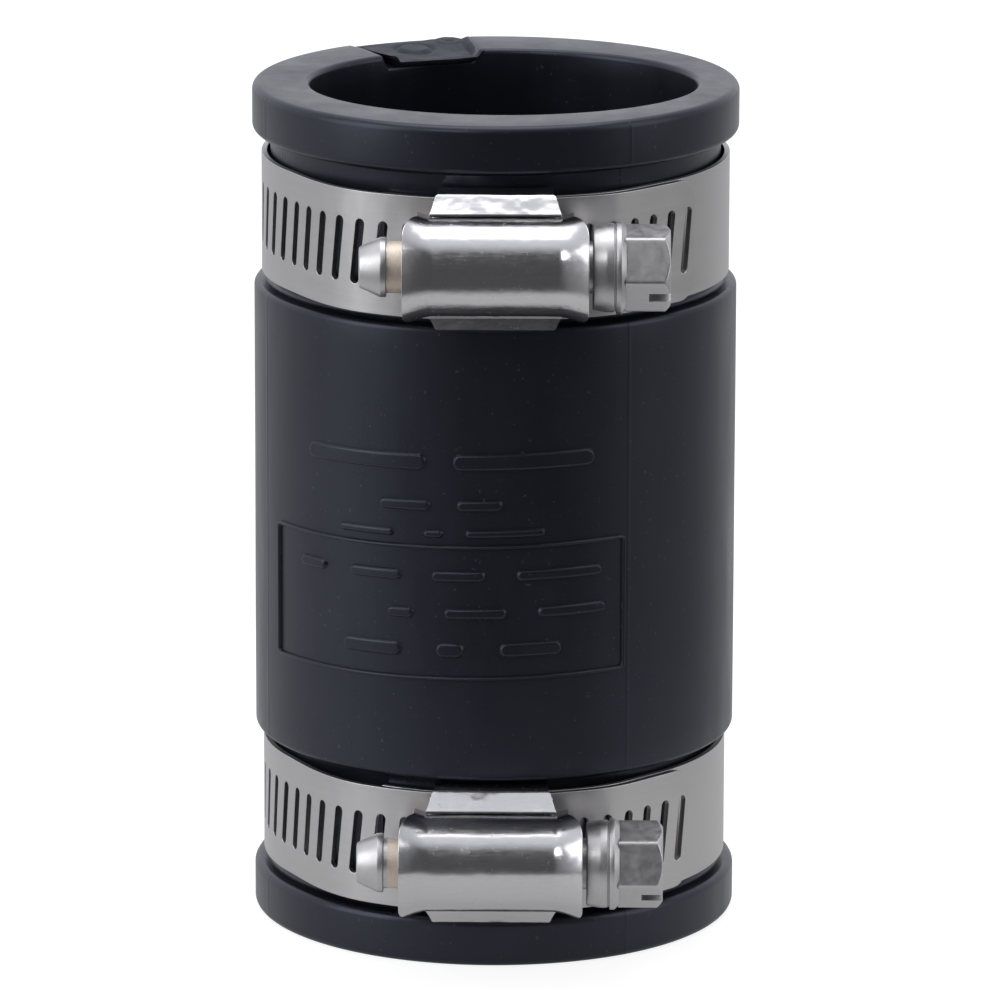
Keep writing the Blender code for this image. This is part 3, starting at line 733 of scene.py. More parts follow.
# The sleeve's bed lies this many times deeper than the slanting cut
BED_DEPTH = 1.9
PATCH_JUT = 1.0 * MM
JUT_START, JUT_END = (PATCH_START, PATCH_START + 12.0), (208.0, 219.0)
JUT_LOSS = 0.35
EDGE_INSET, EDGE_SINK = 0.3, 0.08 * MM
SIDE_EASE, OUTER_EASE, INNER_EASE = 0.04, 0.06, 0.07
TRIM_GRAIN, TRIM_SCALE = 0.06 * MM, 480.0
BOSS_ANGLE, BOSS_RING = 204.0, 21.5 * MM
BOSS_RADIUS, BOSS_HEIGHT, BOSS_EDGE = 1.9 * MM, 0.20 * MM, 0.6 * MM
MOAT_DEPTH, MOAT_GAP, MOAT_WIDTH = 0.22 * MM, 0.12 * MM, 0.32 * MM
KNOB_ANGLE, KNOB_RING = 192.5, 23.6 * MM
KNOB_RADIUS, KNOB_HEIGHT = 1.9 * MM, 0.34 * MM
RIPPLE_HEIGHT, RIPPLE_LENGTH, RIPPLE_FADE = 0.05 * MM, 0.16 * MM, (1.2 * MM, 2.4 * MM)
CREASE_DEPTH = 0.2 * MM
LEFT_CREASE, LEFT_CREASE_WIDTH = 1.5, 0.6
RIGHT_CREASE, RIGHT_CREASE_SLANT, RIGHT_CREASE_WIDTH = 1.8, 1.2, 0.5
# Underside of the overhanging edge: outwards in shares of the jut, and down in millimetres
UNDERSIDE = ((0.0, 0.25), (0.25, 0.45), (0.8, 0.7), (1.6, 1.0), (2.4, 1.2))


def patch_slope(degrees, share):
    """Depth of the slanting cut, from the outer edge (0) to the bore (1)."""
    depth = CUT_OUTER + CUT_INNER * smooth_step(share, 0.0, 1.0)
    return window(degrees, CUT_START, CUT_END) * depth


def patch_left(share):
    """Bearing of the patch's left edge, from the outer edge (0) to the bore (1)."""
    return PATCH_END + PATCH_SLANT * share


def patch_relief(degrees, share, spot):
    """Height of the trimmed gate patch over its sloping face."""
    height = TRIM_GRAIN * noise.fractal(spot * TRIM_SCALE, 1.0, 2.0, 4)
    boss = (spot - around(BOSS_ANGLE, BOSS_RING, spot.z)).length
    height += BOSS_HEIGHT * (1 - smooth_step(boss, BOSS_RADIUS - BOSS_EDGE, BOSS_RADIUS))
    height -= MOAT_DEPTH * bell(boss - BOSS_RADIUS - MOAT_GAP, MOAT_WIDTH)
    knob = (spot - around(KNOB_ANGLE, KNOB_RING, spot.z)).length
    height += KNOB_HEIGHT * bell(knob, KNOB_RADIUS)
    height += RIPPLE_HEIGHT * math.sin(knob / RIPPLE_LENGTH) * (1 - smooth_step(knob, *RIPPLE_FADE))
    left = patch_left(share) - LEFT_CREASE
    right = PATCH_START + RIGHT_CREASE + RIGHT_CREASE_SLANT * share
    height -= CREASE_DEPTH * bell(degrees - left, LEFT_CREASE_WIDTH)
    height -= CREASE_DEPTH * bell(degrees - right, RIGHT_CREASE_WIDTH)
    return height


def patch_reach(degrees):
    """How far the patch juts into the bore: most at its middle."""
    return smooth_step(degrees, *JUT_START) * (1 - JUT_LOSS * smooth_step(degrees, *JUT_END))


def patch_row(column):
    """Points of the patch at one bearing: its sloping face, its edge and its underside."""
    outer = RIM_RADIUS - sleeve_settings().edge_round * EDGE_INSET
    sides = smooth_step(min(column, PATCH_COLUMNS - column) / PATCH_COLUMNS, 0.0, SIDE_EASE)
    points = []
    for step in range(PATCH_STEPS + 1):
        share = step / PATCH_STEPS
        degrees = mix(PATCH_START, patch_left(share), column / PATCH_COLUMNS)
        inner = bore_radius(degrees) - PATCH_JUT * patch_reach(degrees) * sides
        radius = mix(outer, inner, share)
        spot = around(degrees, radius, SLEEVE_HEIGHT) + BORE_LEAN * share ** 2
        ends = min(smooth_step(share, 0.0, OUTER_EASE), 1 - smooth_step(share, 1 - INNER_EASE, 1.0))
        rim = min(sides, ends)
        spot.z += patch_relief(degrees, share, spot) * rim - EDGE_SINK * (1 - rim)
        spot.z -= patch_slope(degrees, share)
        points.append(spot)
    for outward, down in UNDERSIDE:
        spot = around(degrees, radius + outward * PATCH_JUT, SLEEVE_HEIGHT) + BORE_LEAN
        spot.z = points[PATCH_STEPS].z - down * MM
        points.append(spot)
    return points


def make_gate_patch():
    """Rough patch where the moulding gate was trimmed off, on the rim's back left."""
    bm = bmesh.new()
    rows = []
    for column in range(PATCH_COLUMNS + 1):
        rows.append([bm.verts.new(spot) for spot in patch_row(column)])
    join_grid(bm, rows)
    material = rubber_material("trimmed_rubber", rough=True)
    piece = finish_piece(bm, "gate_patch", material, sharp_degrees=70.0)
    hand_over(piece, "sleeve", "black_rubber")


# Formed sheet


class SheetPattern:
    """Flat pattern of a formed sheet: points that faces share, and the faces."""

    def __init__(self):
        self.points = []
        self.numbers = {}
        self.faces = []

    def point(self, along, across):
        key = (round(along / MM, 4), round(across / MM, 4))
        if key not in self.numbers:
            self.numbers[key] = len(self.points)
            self.points.append((along, across))
        return self.numbers[key]

    def strip(self, inner, outer):
        """Fill the strip between two rows of (along, across) points."""
        for corners in zip(inner, inner[1:], outer[1:], outer):
            self.faces.append([self.point(*corner) for corner in corners])

    def grid(self, columns, rows, keep):
        """Fill the cells of a grid that keep(column, row) accepts."""
        for left, right in zip(columns, columns[1:]):
            for low, high in zip(rows, rows[1:]):
                if keep((left + right) / 2, (low + high) / 2):
                    self.strip([(left, low), (left, high)], [(right, low), (right, high)])

    def solid(self, name, material, place):
        """Form the pattern: place(along, across, side) puts each of its two skins."""
        bm = bmesh.new()
        skins = []
        for side in (-1, 1):
            skins.append([bm.verts.new(place(*point, side)) for point in self.points])
        edges = set()
        for face in self.faces:
            edges.update(zip(face, face[1:] + face[:1]))
            bm.faces.new([skins[0][number] for number in face])
            bm.faces.new([skins[1][number] for number in reversed(face)])
        for first, second in edges:
            if (second, first) not in edges:
                wall = (skins[0][second], skins[0][first], skins[1][first], skins[1][second])
                bm.faces.new(wall)
        return finish_piece(bm, name, material)


class ClampPath:
    """A line round the clamp, measured along its length from the zero angle."""

    def __init__(self, radius_at, start, end, zero, step=0.25):
        count = math.ceil((end - start) / step)
        self.spots = []
        for index in range(count + 1):
            degrees = start + (end - start) * index / count
            angle = math.radians(degrees)
            self.spots.append(Vector((math.sin(angle), -math.cos(angle))) * radius_at(degrees))
        self.lengths = [0.0]
        for here, there in zip(self.spots, self.spots[1:]):
            self.lengths.append(self.lengths[-1] + (there - here).length)
        share = (zero - start) / (end - start) * count
        index = min(int(share), count - 1)
        shift = mix(self.lengths[index], self.lengths[index + 1], share - index)
        self.lengths = [length - shift for length in self.lengths]
        self.start = self.lengths[0]
        self.end = self.lengths[-1]

    def at(self, length):
        """Point and outward normal at a length along the line."""
        index = bisect.bisect_right(self.lengths, length) - 1
        index = min(max(index, 0), len(self.spots) - 2)
        gap = self.lengths[index + 1] - self.lengths[index]
        here = self.spots[index]
        there = self.spots[index + 1]
        point = here + (there - here) * ((length - self.lengths[index]) / gap)
        before = self.spots[max(index - 1, 0)]
        after = self.spots[min(index + 2, len(self.spots) - 1)]
        along = (after - before).normalized()
        return point, Vector((along.y, -along.x))


# Angles round the clamp in degrees, from the screw towards the hex head
FIXED_END_ANGLE = -8.0
FLAT_ANGLE, ROUND_ANGLE = 7.0, 14.0
STEP_DOWN_START, STEP_DOWN_END = 26.0, 44.0
STEP_UP_START, STEP_UP_END = -62.0, -30.0
FULL_TURN = 360.0
# How far past its step the path of the band goes on, for the tail
TAIL_ALLOWANCE = 30.0

FIRST_SLOT, LAST_SLOT = -19, 8
SLOT_OFFSET = 1.3 * MM
TAIL_MARGIN = 1.3 * MM
TAIL_CORNER = 2.2 * MM
WORM_RADIUS = 3.9 * MM
WORM_TOOTH_HEIGHT = 0.7 * MM
SADDLE_THICKNESS = 0.5 * MM
HOUSING_THICKNESS = 0.6 * MM
BAND_WEAR, SHEET_WEAR = 0.07 * MM, 0.16 * MM


class Layers:
    """Distances from the sleeve's axis to the middles of the sheets under the worm."""

    def __init__(self):
        thickness = clamp_settings().band_thickness
        groove = RIM_RADIUS - sleeve_settings().groove_depth
        self.saddle = groove + CLEARANCE + SADDLE_THICKNESS / 2
        self.first = self.saddle + SADDLE_THICKNESS / 2 + CLEARANCE + thickness / 2
        self.second = self.first + thickness + CLEARANCE
        self.plain = groove + CLEARANCE + thickness / 2
        self.tail = self.plain + thickness + CLEARANCE
        self.foot = self.second + thickness / 2 + CLEARANCE + HOUSING_THICKNESS / 2

    def band_radius(self, degrees):
        """Radius of the band's middle, from its fixed end once round to its tail."""
        if degrees < FULL_TURN / 2:
            lifted = flat_or_round(degrees, self.first)
            return mix(lifted, self.plain, smooth_step(degrees, STEP_DOWN_START, STEP_DOWN_END))
        degrees -= FULL_TURN
        lifted = flat_or_round(degrees, self.second)
        if degrees < 0:
            return mix(self.plain, lifted, smooth_step(degrees, STEP_UP_START, STEP_UP_END))
        return mix(lifted, self.tail, smooth_step(degrees, STEP_DOWN_START, STEP_DOWN_END))


def flat_or_round(degrees, depth):
    """Radius of a layer that is flat under the worm and round beyond it."""
    flat = depth / math.cos(math.radians(min(abs(degrees), FLAT_ANGLE)))
    return mix(flat, depth, smooth_step(abs(degrees), FLAT_ANGLE, ROUND_ANGLE))


def clamp_matrix(prefix):
    """Place of a clamp: turned about the sleeve's axis, at its own height."""
    screw = JOINTS[prefix + "_screw_turn"]
    turn = math.atan2(screw["axis"][1], screw["axis"][0])
    shift = Matrix.Translation((0.0, AXIS_Y, screw["pos_m"][2]))
    return shift @ Matrix.Rotation(turn, 4, "Z")


def seat_on_clamp(piece, prefix, wear, segments):
    """Move a formed sheet to its clamp and wear its cut edges."""
    piece.data.transform(clamp_matrix(prefix))
    soften_edges(piece, wear, segments)


# Bands


SLOT_STEPS = 6
PLAIN_STEP = 0.9 * MM


def slot_centre(number):
    return number * clamp_settings().pitch + SLOT_OFFSET


def slot_half(centre, side, steps):
    """Right (side 1) or left (side -1) half of a slanted round-ended slot."""
    s = clamp_settings()
    slant = math.atan(s.pitch / (2 * math.pi * (WORM_RADIUS - WORM_TOOTH_HEIGHT / 2)))
    radius = s.slot_width / 2
    reach = s.slot_length / 2 - radius
    points = []
    for end in (-1, 1):
        for index in range(steps + 1):
            share = index / steps if end > 0 else index / steps - 1
            angle = share * math.pi / 2
            across = side * radius * math.cos(angle)
            upward = end * reach + radius * math.sin(angle)
            along = centre + across * math.cos(slant) + upward * math.sin(slant)
            points.append((along, upward * math.cos(slant) - across * math.sin(slant)))
    return points


def tile_half(centre, side, steps, start=None):
    """Outline of the strip round one half of a slot, with a point for each slot point."""
    s = clamp_settings()
    edge = centre + side * s.pitch / 2
    top = BAND_WIDTH / 2
    inner = (s.slot_length - s.slot_width) / 2
    lower = [(centre if start is None else start, -top), (edge, -top), (edge, -inner)]
    run = spread(lower, steps)
    return run + [(along, -across) for along, across in reversed(run)]


def spread(corners, steps):
    """Spread steps + 1 points along an L of three corners, keeping the corner."""
    start, corner, end = [Vector(spot) for spot in corners]
    half = steps // 2
    rest = steps - half
    points = [start.lerp(corner, index / half) for index in range(half)]
    points += [corner.lerp(end, index / rest) for index in range(rest + 1)]
    return [tuple(point) for point in points]


def tail_half(centre, steps):
    """Outline of the tail's end round the last slot, with rounded corners."""
    end = centre + TAIL_MARGIN
    middle = BAND_WIDTH / 2 - TAIL_CORNER
    upper = []
    for index in range(steps + 1):
        angle = index / steps * math.pi / 2
        along = end - TAIL_CORNER + TAIL_CORNER * math.cos(angle)
        upper.append((along, middle + TAIL_CORNER * math.sin(angle)))
    lower = [(along, -across) for along, across in reversed(upper)]
    return lower + upper


def in_order(slot, outline, side):
    """Order two rows so that every face of the pattern turns the same way."""
    return (slot, outline) if side > 0 else (outline, slot)


def band_pattern(path):
    """Flat strip with its slots, from the fixed end to the rounded tail."""
    s = clamp_settings()
    pattern = SheetPattern()
    for number in range(FIRST_SLOT, LAST_SLOT):
        centre = slot_centre(number)
        for side in (-1, 1):
            slot = slot_half(centre, side, SLOT_STEPS)
            pattern.strip(*in_order(slot, tile_half(centre, side, SLOT_STEPS), side))
    centre = slot_centre(LAST_SLOT)
    left = tile_half(centre, -1, SLOT_STEPS, centre + TAIL_MARGIN - TAIL_CORNER)
    pattern.strip(*in_order(slot_half(centre, -1, SLOT_STEPS), left, -1))
    pattern.strip(*in_order(slot_half(centre, 1, SLOT_STEPS), tail_half(centre, SLOT_STEPS), 1))
    add_plain_length(pattern, path.start, slot_centre(FIRST_SLOT) - s.pitch / 2)
    return pattern


def add_plain_length(pattern, start, end):
    """Fill the stretch without slots, with rows that meet those of the slotted tiles."""
    s = clamp_settings()
    inner = (s.slot_length - s.slot_width) / 2
    edge_rows = spread([(0.0, 0.0), (0.0, -BAND_WIDTH / 2), (0.0, -inner)], SLOT_STEPS)
    rows = sorted({round(across, 9) for _, across in edge_rows if across < 0})
    count = math.ceil((end - start) / PLAIN_STEP)
    columns = [mix(start, end, index / count) for index in range(count + 1)]
    pattern.grid(columns, rows + [-row for row in reversed(rows)], lambda along, across: True)


def make_band(prefix, material):
    """Wind the slotted strip round the sleeve, its tail outside."""
    thickness = clamp_settings().band_thickness
    path_end = FULL_TURN + STEP_DOWN_END + TAIL_ALLOWANCE
    path = ClampPath(Layers().band_radius, FIXED_END_ANGLE, path_end, FULL_TURN)

    def place(along, across, side):
        point, normal = path.at(along)
        point = point + normal * (side * thickness / 2)
        return (point.x, point.y, across)

    piece = band_pattern(path).solid(prefix + "_slotted_band", material, place)
    seat_on_clamp(piece, prefix, BAND_WEAR, 2)
    hand_over(piece, prefix + "_clamp", "band_steel", prefix + "_band")


# Saddles and housings


# Flat width that stands for one point of a profile in its pattern
ROW = 1.0 * MM
MITRE_LIMIT = 0.5
SADDLE_LEFT_ANGLE, SADDLE_RIGHT_ANGLE = -28.0, 24.0
SADDLE_CELL = 0.6 * MM
FLOOR_STEPS = 8
EAR_HALF_LENGTH = 5.9 * MM
EAR_FLARE = 0.15
EAR_BEND, EAR_BEND_STEPS = 0.35 * MM, 5
EAR_TOP_BEND, EAR_TOP_STEPS = 0.5 * MM, 8
EAR_TIP_GAP, EAR_TIP_RISE = 0.2 * MM, 1.75 * MM
EAR_TIP_STEPS = 6
HOUSING_CELL = 0.25 * MM
HOUSING_CLEARANCE = 0.5 * MM
HOUSING_RADIUS = WORM_RADIUS + HOUSING_CLEARANCE + HOUSING_THICKNESS
HOUSING_FOOT_HALF = 6.4 * MM
HOUSING_BEND, HOUSING_BEND_STEPS = 0.8 * MM, 6
LIP_LENGTH = 3.0 * MM
LIP_FLARE, LIP_CURL = 0.20, 1.45
LIP_DROP = 1.9 * MM
LIP_CORNER = 1.5 * MM
DOME_STEPS, WALL_STEPS = 26, 3


def mirrored_profile(half):
    """Complete a profile that starts at across = 0 with its mirror image."""
    return [Vector((-point.x, point.y)) for point in reversed(half[1:])] + half


def profile_normals(points):
    """Normals of a profile's points, longer at its bends so that the sheet keeps its thickness."""
    normals = []
    for index, point in enumerate(points):
        before = points[max(index - 1, 0)]
        after = points[min(index + 1, len(points) - 1)]
        first = (point - before).normalized() if index else (after - point).normalized()
        second = (after - point).normalized() if after is not point else first
        along = (first + second).normalized()
        stretch = 1 / max(first.dot(along), MITRE_LIMIT)
        normals.append(Vector((-along.y, along.x)) * stretch)
    return normals


def even_columns(edges, longest):
    """Columns through every edge value, no further apart than longest."""
    columns = []
    for left, right in zip(edges, edges[1:]):
        count = max(1, math.ceil((right - left) / longest))
        columns += [mix(left, right, index / count) for index in range(count)]
    return columns + [edges[-1]]


def profile_pattern(columns, count, half_length, free_rows):
    """Pattern with a row for each point of a profile; its ends have fewer rows than its middle."""
    rows = [(index - count // 2) * ROW for index in range(count)]

    def keep(along, across):
        return abs(along) < half_length or abs(across) < free_rows * ROW

    pattern = SheetPattern()
    pattern.grid(columns, rows, keep)
    return pattern


def saddle_profile(layers):
    """Half section of the channel: floor, upright ears, and tips folded inwards."""
    wall = BAND_WIDTH / 2 + CLEARANCE + SADDLE_THICKNESS / 2
    rise = layers.foot + HOUSING_THICKNESS / 2 + SADDLE_THICKNESS / 2 - layers.saddle
    floor = [Vector((wall * index / FLOOR_STEPS, 0.0)) for index in range(FLOOR_STEPS)]
    corners = [
        (0, 0, 0, 0),
        (wall, 0, EAR_BEND, EAR_BEND_STEPS),
        (wall, rise, EAR_TOP_BEND, EAR_TOP_STEPS),
        (HOUSING_RADIUS + EAR_TIP_GAP, rise + EAR_TIP_RISE, 0, 0),
    ]
    upright = rounded_outline(corners)[1:]
    last = upright.pop()
    fold = [upright[-1].lerp(last, index / EAR_TIP_STEPS) for index in range(1, EAR_TIP_STEPS + 1)]
    return floor + upright + fold, FLOOR_STEPS + EAR_BEND_STEPS + 1


def make_saddle(prefix, material):
    """Channel plate under the band, whose ears fold over the housing's feet."""
    layers = Layers()
    path = ClampPath(
        lambda degrees: flat_or_round(degrees, layers.saddle), SADDLE_LEFT_ANGLE, SADDLE_RIGHT_ANGLE, 0.0)
    half, fold_start = saddle_profile(layers)
    profile = mirrored_profile(half)
    normals = profile_normals(profile)
    middle = len(profile) // 2
    edges = [path.start, -EAR_HALF_LENGTH, EAR_HALF_LENGTH, path.end]
    columns = even_columns(edges, SADDLE_CELL)
    pattern = profile_pattern(columns, len(profile), EAR_HALF_LENGTH, FLOOR_STEPS - 1)

    def place(along, across, side):
        row = round(across / ROW)
        offset = profile[row + middle] + normals[row + middle] * (side * SADDLE_THICKNESS / 2)
        if abs(row) < fold_start:
            point, normal = path.at(along)
            point = point + normal * offset.y
            return (point.x, point.y, offset.x)
        share = (abs(row) - fold_start) / (middle - fold_start)
        return (along * (1 + EAR_FLARE * share ** 2), -layers.saddle - offset.y, offset.x)

    piece = pattern.solid(prefix + "_saddle_plate", material, place)
    seat_on_clamp(piece, prefix, SHEET_WEAR, 3)
    hand_over(piece, prefix + "_clamp", "saddle_steel", prefix + "_saddle")


def housing_profile(layers):
    """Half section of the housing: dome, side wall, and foot turned outwards."""
    radius = HOUSING_RADIUS - HOUSING_THICKNESS / 2
    foot = layers.foot - SCREW_DEPTH
    half = []
    for index in range(DOME_STEPS + 1):
        angle = index / DOME_STEPS * math.pi / 2
        half.append(radius * Vector((math.sin(angle), math.cos(angle))))
    half += [Vector((radius, -LIP_DROP * index / WALL_STEPS)) for index in range(1, WALL_STEPS + 1)]
    corner = Vector((radius, foot))
    foot_end = Vector((BAND_WIDTH / 2, foot))
    half += rounded_corner(half[-1], corner, foot_end, HOUSING_BEND, HOUSING_BEND_STEPS)
    half.append(foot_end)
    return half


def lip_reach(across, side):
    """Share of the lip's length that is left at a distance across, for its rounded corners."""
    inside = min(max(1 - (side - across) / LIP_CORNER, 0.0), 1.0)
    cut = LIP_CORNER * (1 - math.sqrt(1 - inside ** 2))
    return 1 - cut / LIP_LENGTH


def make_housing(prefix, material):
    """Dome over the worm, on two feet, with flared lips at both ends."""
    half = housing_profile(Layers())
    profile = mirrored_profile(half)
    normals = profile_normals(profile)
    middle = len(profile) // 2
    lip_start = HOUSING_HALF_LENGTH - LIP_LENGTH
    right = even_columns([0.0, HOUSING_FOOT_HALF, lip_start, HOUSING_HALF_LENGTH], HOUSING_CELL)
    columns = [-along for along in reversed(right[1:])] + right
    pattern = profile_pattern(columns, len(profile), HOUSING_FOOT_HALF, DOME_STEPS + WALL_STEPS)

    def place(along, across, side):
        row = round(across / ROW)
        beyond = max(abs(along) - lip_start, 0.0)
        share = lip_reach(abs(profile[row + middle].x), half[DOME_STEPS].x)
        growth = 1 + LIP_FLARE * (beyond * share / LIP_LENGTH) ** LIP_CURL
        offset = profile[row + middle] * growth
        offset = offset - normals[row + middle] * (side * HOUSING_THICKNESS / 2)
        reach = abs(along) - beyond + beyond * share
        return (math.copysign(reach, along), -SCREW_DEPTH - offset.y, offset.x)

    piece = pattern.solid(prefix + "_worm_housing", material, place)
    seat_on_clamp(piece, prefix, SHEET_WEAR, 3)
    hand_over(piece, prefix + "_clamp", "housing_steel", prefix + "_housing")


# Screws


WORM_HALF_LENGTH = 6.5 * MM
WORM_RUN_OUT = 0.8 * MM
TOOTH_TIP_WIDTH = 0.4 * MM
TOOTH_ROOT_WIDTH = 1.2 * MM
TOOTH_ROOT_SINK = 0.15 * MM
TOOTH_FADE = math.pi / 3
NECK_RADIUS = 2.65 * MM
NOSE_RADIUS = 3.07 * MM
NOSE_TIP_RADIUS = 2.05 * MM
NOSE_LAND = 0.6 * MM
NOSE_GAP = 1.6 * MM
COLLAR_GAP = 0.4 * MM
COLLAR_LENGTH = 2.4 * MM
COLLAR_RADIUS = 4.55 * MM
COLLAR_SWELL, COLLAR_SWELL_LENGTH = 0.25 * MM, 1.4 * MM
COLLAR_GROOVE, COLLAR_GROOVE_DEPTH, COLLAR_GROOVE_FLOOR = 0.25 * MM, 0.18 * MM, 0.1 * MM
FLANGE_LENGTH = 1.0 * MM
FLANGE_RADIUS = 4.75 * MM
FLANGE_TAPER = 0.5 * MM
HEX_CHAMFER = 0.8 * MM
HEX_CHAMFER_SLOPE = 0.95
HEX_CHAMFER_CURVE = 1.6
HEX_CORNER_ROUND = 0.45 * MM
HEX_ROOT, HEX_SINK = 1.1 * MM, 0.1 * MM
HEX_CELL = 0.3 * MM
# Below 1 the rows of the hex head stand closer near its chamfer
HEX_ROWS, HEX_ROW_CROWDING = 44, 0.6
HEX_SHARP_DEGREES = 38.0
DRIVER_SLOT_WIDTH = 1.2 * MM
DRIVER_SLOT_DEPTH = 2.2 * MM
DRIVER_SLOT_ANGLE = 60.0
HEAD_TURN = {"upper": 22.0, "lower": 15.0}
SCREW_STEPS = 96
THREAD_STEPS = 36
HEX_START = HOUSING_HALF_LENGTH + COLLAR_GAP + COLLAR_LENGTH + FLANGE_LENGTH
HEX_END = SCREW_HIGH.x
NOSE_TIP = SCREW_LOW.x


def screw_outline():
    """Half section of the screw's turned shape, along X from nose to hex."""
    nose_back = -HOUSING_HALF_LENGTH - NOSE_GAP
    core = WORM_RADIUS - WORM_TOOTH_HEIGHT
    collar = HOUSING_HALF_LENGTH + COLLAR_GAP
    flange = collar + COLLAR_LENGTH
    root = HEX_START + HEX_ROOT
    # Each corner: place along the screw, radius, rounding and the steps of its arc
    corners = [
        (NOSE_TIP, 0, 0, 0),
        (NOSE_TIP, NOSE_TIP_RADIUS, 0.35 * MM, 4),
        (nose_back - NOSE_LAND, NOSE_RADIUS, 0.25 * MM, 3),
        (nose_back, NOSE_RADIUS, 0.15 * MM, 3),
        (nose_back, NECK_RADIUS, 0, 0),
        (-WORM_HALF_LENGTH, NECK_RADIUS, 0, 0),
        (-WORM_HALF_LENGTH, core, 0, 0),
        (WORM_HALF_LENGTH, core, 0, 0),
        (WORM_HALF_LENGTH, NECK_RADIUS, 0, 0),
        (collar, NECK_RADIUS, 0, 0),
        (collar, COLLAR_RADIUS - COLLAR_SWELL, 0.2 * MM, 3),
        (collar + COLLAR_SWELL_LENGTH, COLLAR_RADIUS, 1.2 * MM, 6),
        (flange - COLLAR_GROOVE, COLLAR_RADIUS, 0.1 * MM, 2),
        (flange - COLLAR_GROOVE_FLOOR, COLLAR_RADIUS - COLLAR_GROOVE_DEPTH, 0.05 * MM, 2),
        (flange, FLANGE_RADIUS, 0.08 * MM, 2),
        (flange + FLANGE_LENGTH - FLANGE_TAPER, FLANGE_RADIUS, 0.15 * MM, 3),
        (HEX_START, FLANGE_RADIUS - FLANGE_TAPER, 0, 0),
        (HEX_START, FLANGE_RADIUS - 2 * FLANGE_TAPER, 0, 0),
        (root, FLANGE_RADIUS - 2 * FLANGE_TAPER, 0, 0),
        (root, 0, 0, 0),
    ]
    return rounded_outline(corners)


def spin_profile(bm, points, steps):
    """Turn (along X, radius) points about the X axis."""
    rows = []
    for index in range(steps):
        angle = 2 * math.pi * index / steps
        row = [bm.verts.new((x, r * math.cos(angle), r * math.sin(angle))) for x, r in points]
        rows.append(row)
    join_grid(bm, rows, close_rows=True)


def add_worm_tooth(bm):
    """Right-handed tooth in step with the band's slots, fading out at both ends."""
    pitch = clamp_settings().pitch
    limit = WORM_HALF_LENGTH - WORM_RUN_OUT
    turn = 2 * math.pi / pitch
    first = (-limit - SLOT_OFFSET) * turn
    last = (limit - SLOT_OFFSET) * turn
    count = round((last - first) / (2 * math.pi) * THREAD_STEPS)
    root = WORM_RADIUS - WORM_TOOTH_HEIGHT - TOOTH_ROOT_SINK
    half_tip, half_root = TOOTH_TIP_WIDTH / 2, TOOTH_ROOT_WIDTH / 2
    rows = []
    for index in range(count + 1):
        angle = mix(first, last, index / count)
        height = smooth_step(min(angle - first, last - angle), 0.0, TOOTH_FADE)
        tip = mix(root + TOOTH_ROOT_SINK / 2, WORM_RADIUS, height)
        centre = SLOT_OFFSET + angle / turn
        row = []
        for along, radius in ((-half_root, root), (-half_tip, tip), (half_tip, tip), (half_root, root)):
            spot = (centre + along, radius * math.cos(angle), radius * math.sin(angle))
            row.append(bm.verts.new(spot))
        rows.append(row)
    join_grid(bm, rows, close_columns=True)
    bm.faces.new(rows[0])
    bm.faces.new(rows[-1])


def screw_matrix(prefix):
    return clamp_matrix(prefix) @ Matrix.Translation((0.0, -SCREW_DEPTH, 0.0))


def make_shaft(prefix, material):
    """Nose, necks, worm, collar and flange of the screw, turned in one."""
    bm = bmesh.new()
    spin_profile(bm, screw_outline(), SCREW_STEPS)
    add_worm_tooth(bm)
    piece = finish_piece(bm, prefix + "_worm_shaft", material, sharp_degrees=28.0)
    piece.data.transform(screw_matrix(prefix))
    hand_over(piece, prefix + "_screw", "screw_steel", prefix + "_screw")


def hex_corner():
    """Distance of the hex head's sharp corners from the screw's axis."""
    return clamp_settings().hex_across_flats / math.sqrt(3)


def hex_outline(turn):
    """Hexagon with rounded corners, as (radius, angle) round the screw."""
    corner = hex_corner()
    corners = []
    for index in range(6):
        angle = math.radians(60 * index + turn)
        corners.append((corner * math.cos(angle), corner * math.sin(angle), HEX_CORNER_ROUND, 6))
    points = fill_outline(rounded_outline(corners), HEX_CELL)
    return [(point.length, math.atan2(point.y, point.x)) for point in points]


def chamfer_limit(x):
    """Largest radius that the turned chamfer leaves at a place along the hex head."""
    share = max(1 - (HEX_END - x) / HEX_CHAMFER, 0.0)
    return hex_corner() - HEX_CHAMFER * HEX_CHAMFER_SLOPE * share ** HEX_CHAMFER_CURVE


def hex_block(name, turn, material):
    """Hex head with rounded corners and a turned chamfer, without its driver slot."""
    outline = hex_outline(turn)
    start = HEX_START - HEX_SINK
    bm = bmesh.new()
    root = bm.verts.new((start, 0.0, 0.0))
    rings = []
    for index in range(HEX_ROWS + 1):
        x = mix(start, HEX_END, (index / HEX_ROWS) ** HEX_ROW_CROWDING)
        limit = chamfer_limit(x)
        ring = []
        for radius, angle in outline:
            radius = min(radius, limit)
            ring.append(bm.verts.new((x, radius * math.sin(angle), radius * math.cos(angle))))
        rings.append(ring)
    end = bm.verts.new((HEX_END, 0.0, 0.0))
    join_grid(bm, rings, close_columns=True)
    for tip, ring in ((root, rings[0]), (end, rings[-1])):
        for here, there in zip(ring, ring[1:] + ring[:1]):
            bm.faces.new((tip, here, there))
    return finish_piece(bm, name, material, HEX_SHARP_DEGREES)


def slot_cutter(name, turn, material):
    """Bar that cuts the driver slot across the end of a hex head."""
    bm = bmesh.new()
    bmesh.ops.create_cube(bm, size=1.0)
    size = Matrix.Diagonal((2 * DRIVER_SLOT_DEPTH, 4 * hex_corner(), DRIVER_SLOT_WIDTH, 1.0))
    rotation = Matrix.Rotation(math.radians(DRIVER_SLOT_ANGLE - turn), 4, "X")
    place = Matrix.Translation((HEX_END, 0, 0)) @ rotation @ size
    bmesh.ops.transform(bm, matrix=place, verts=bm.verts)
    return finish_piece(bm, name, material)


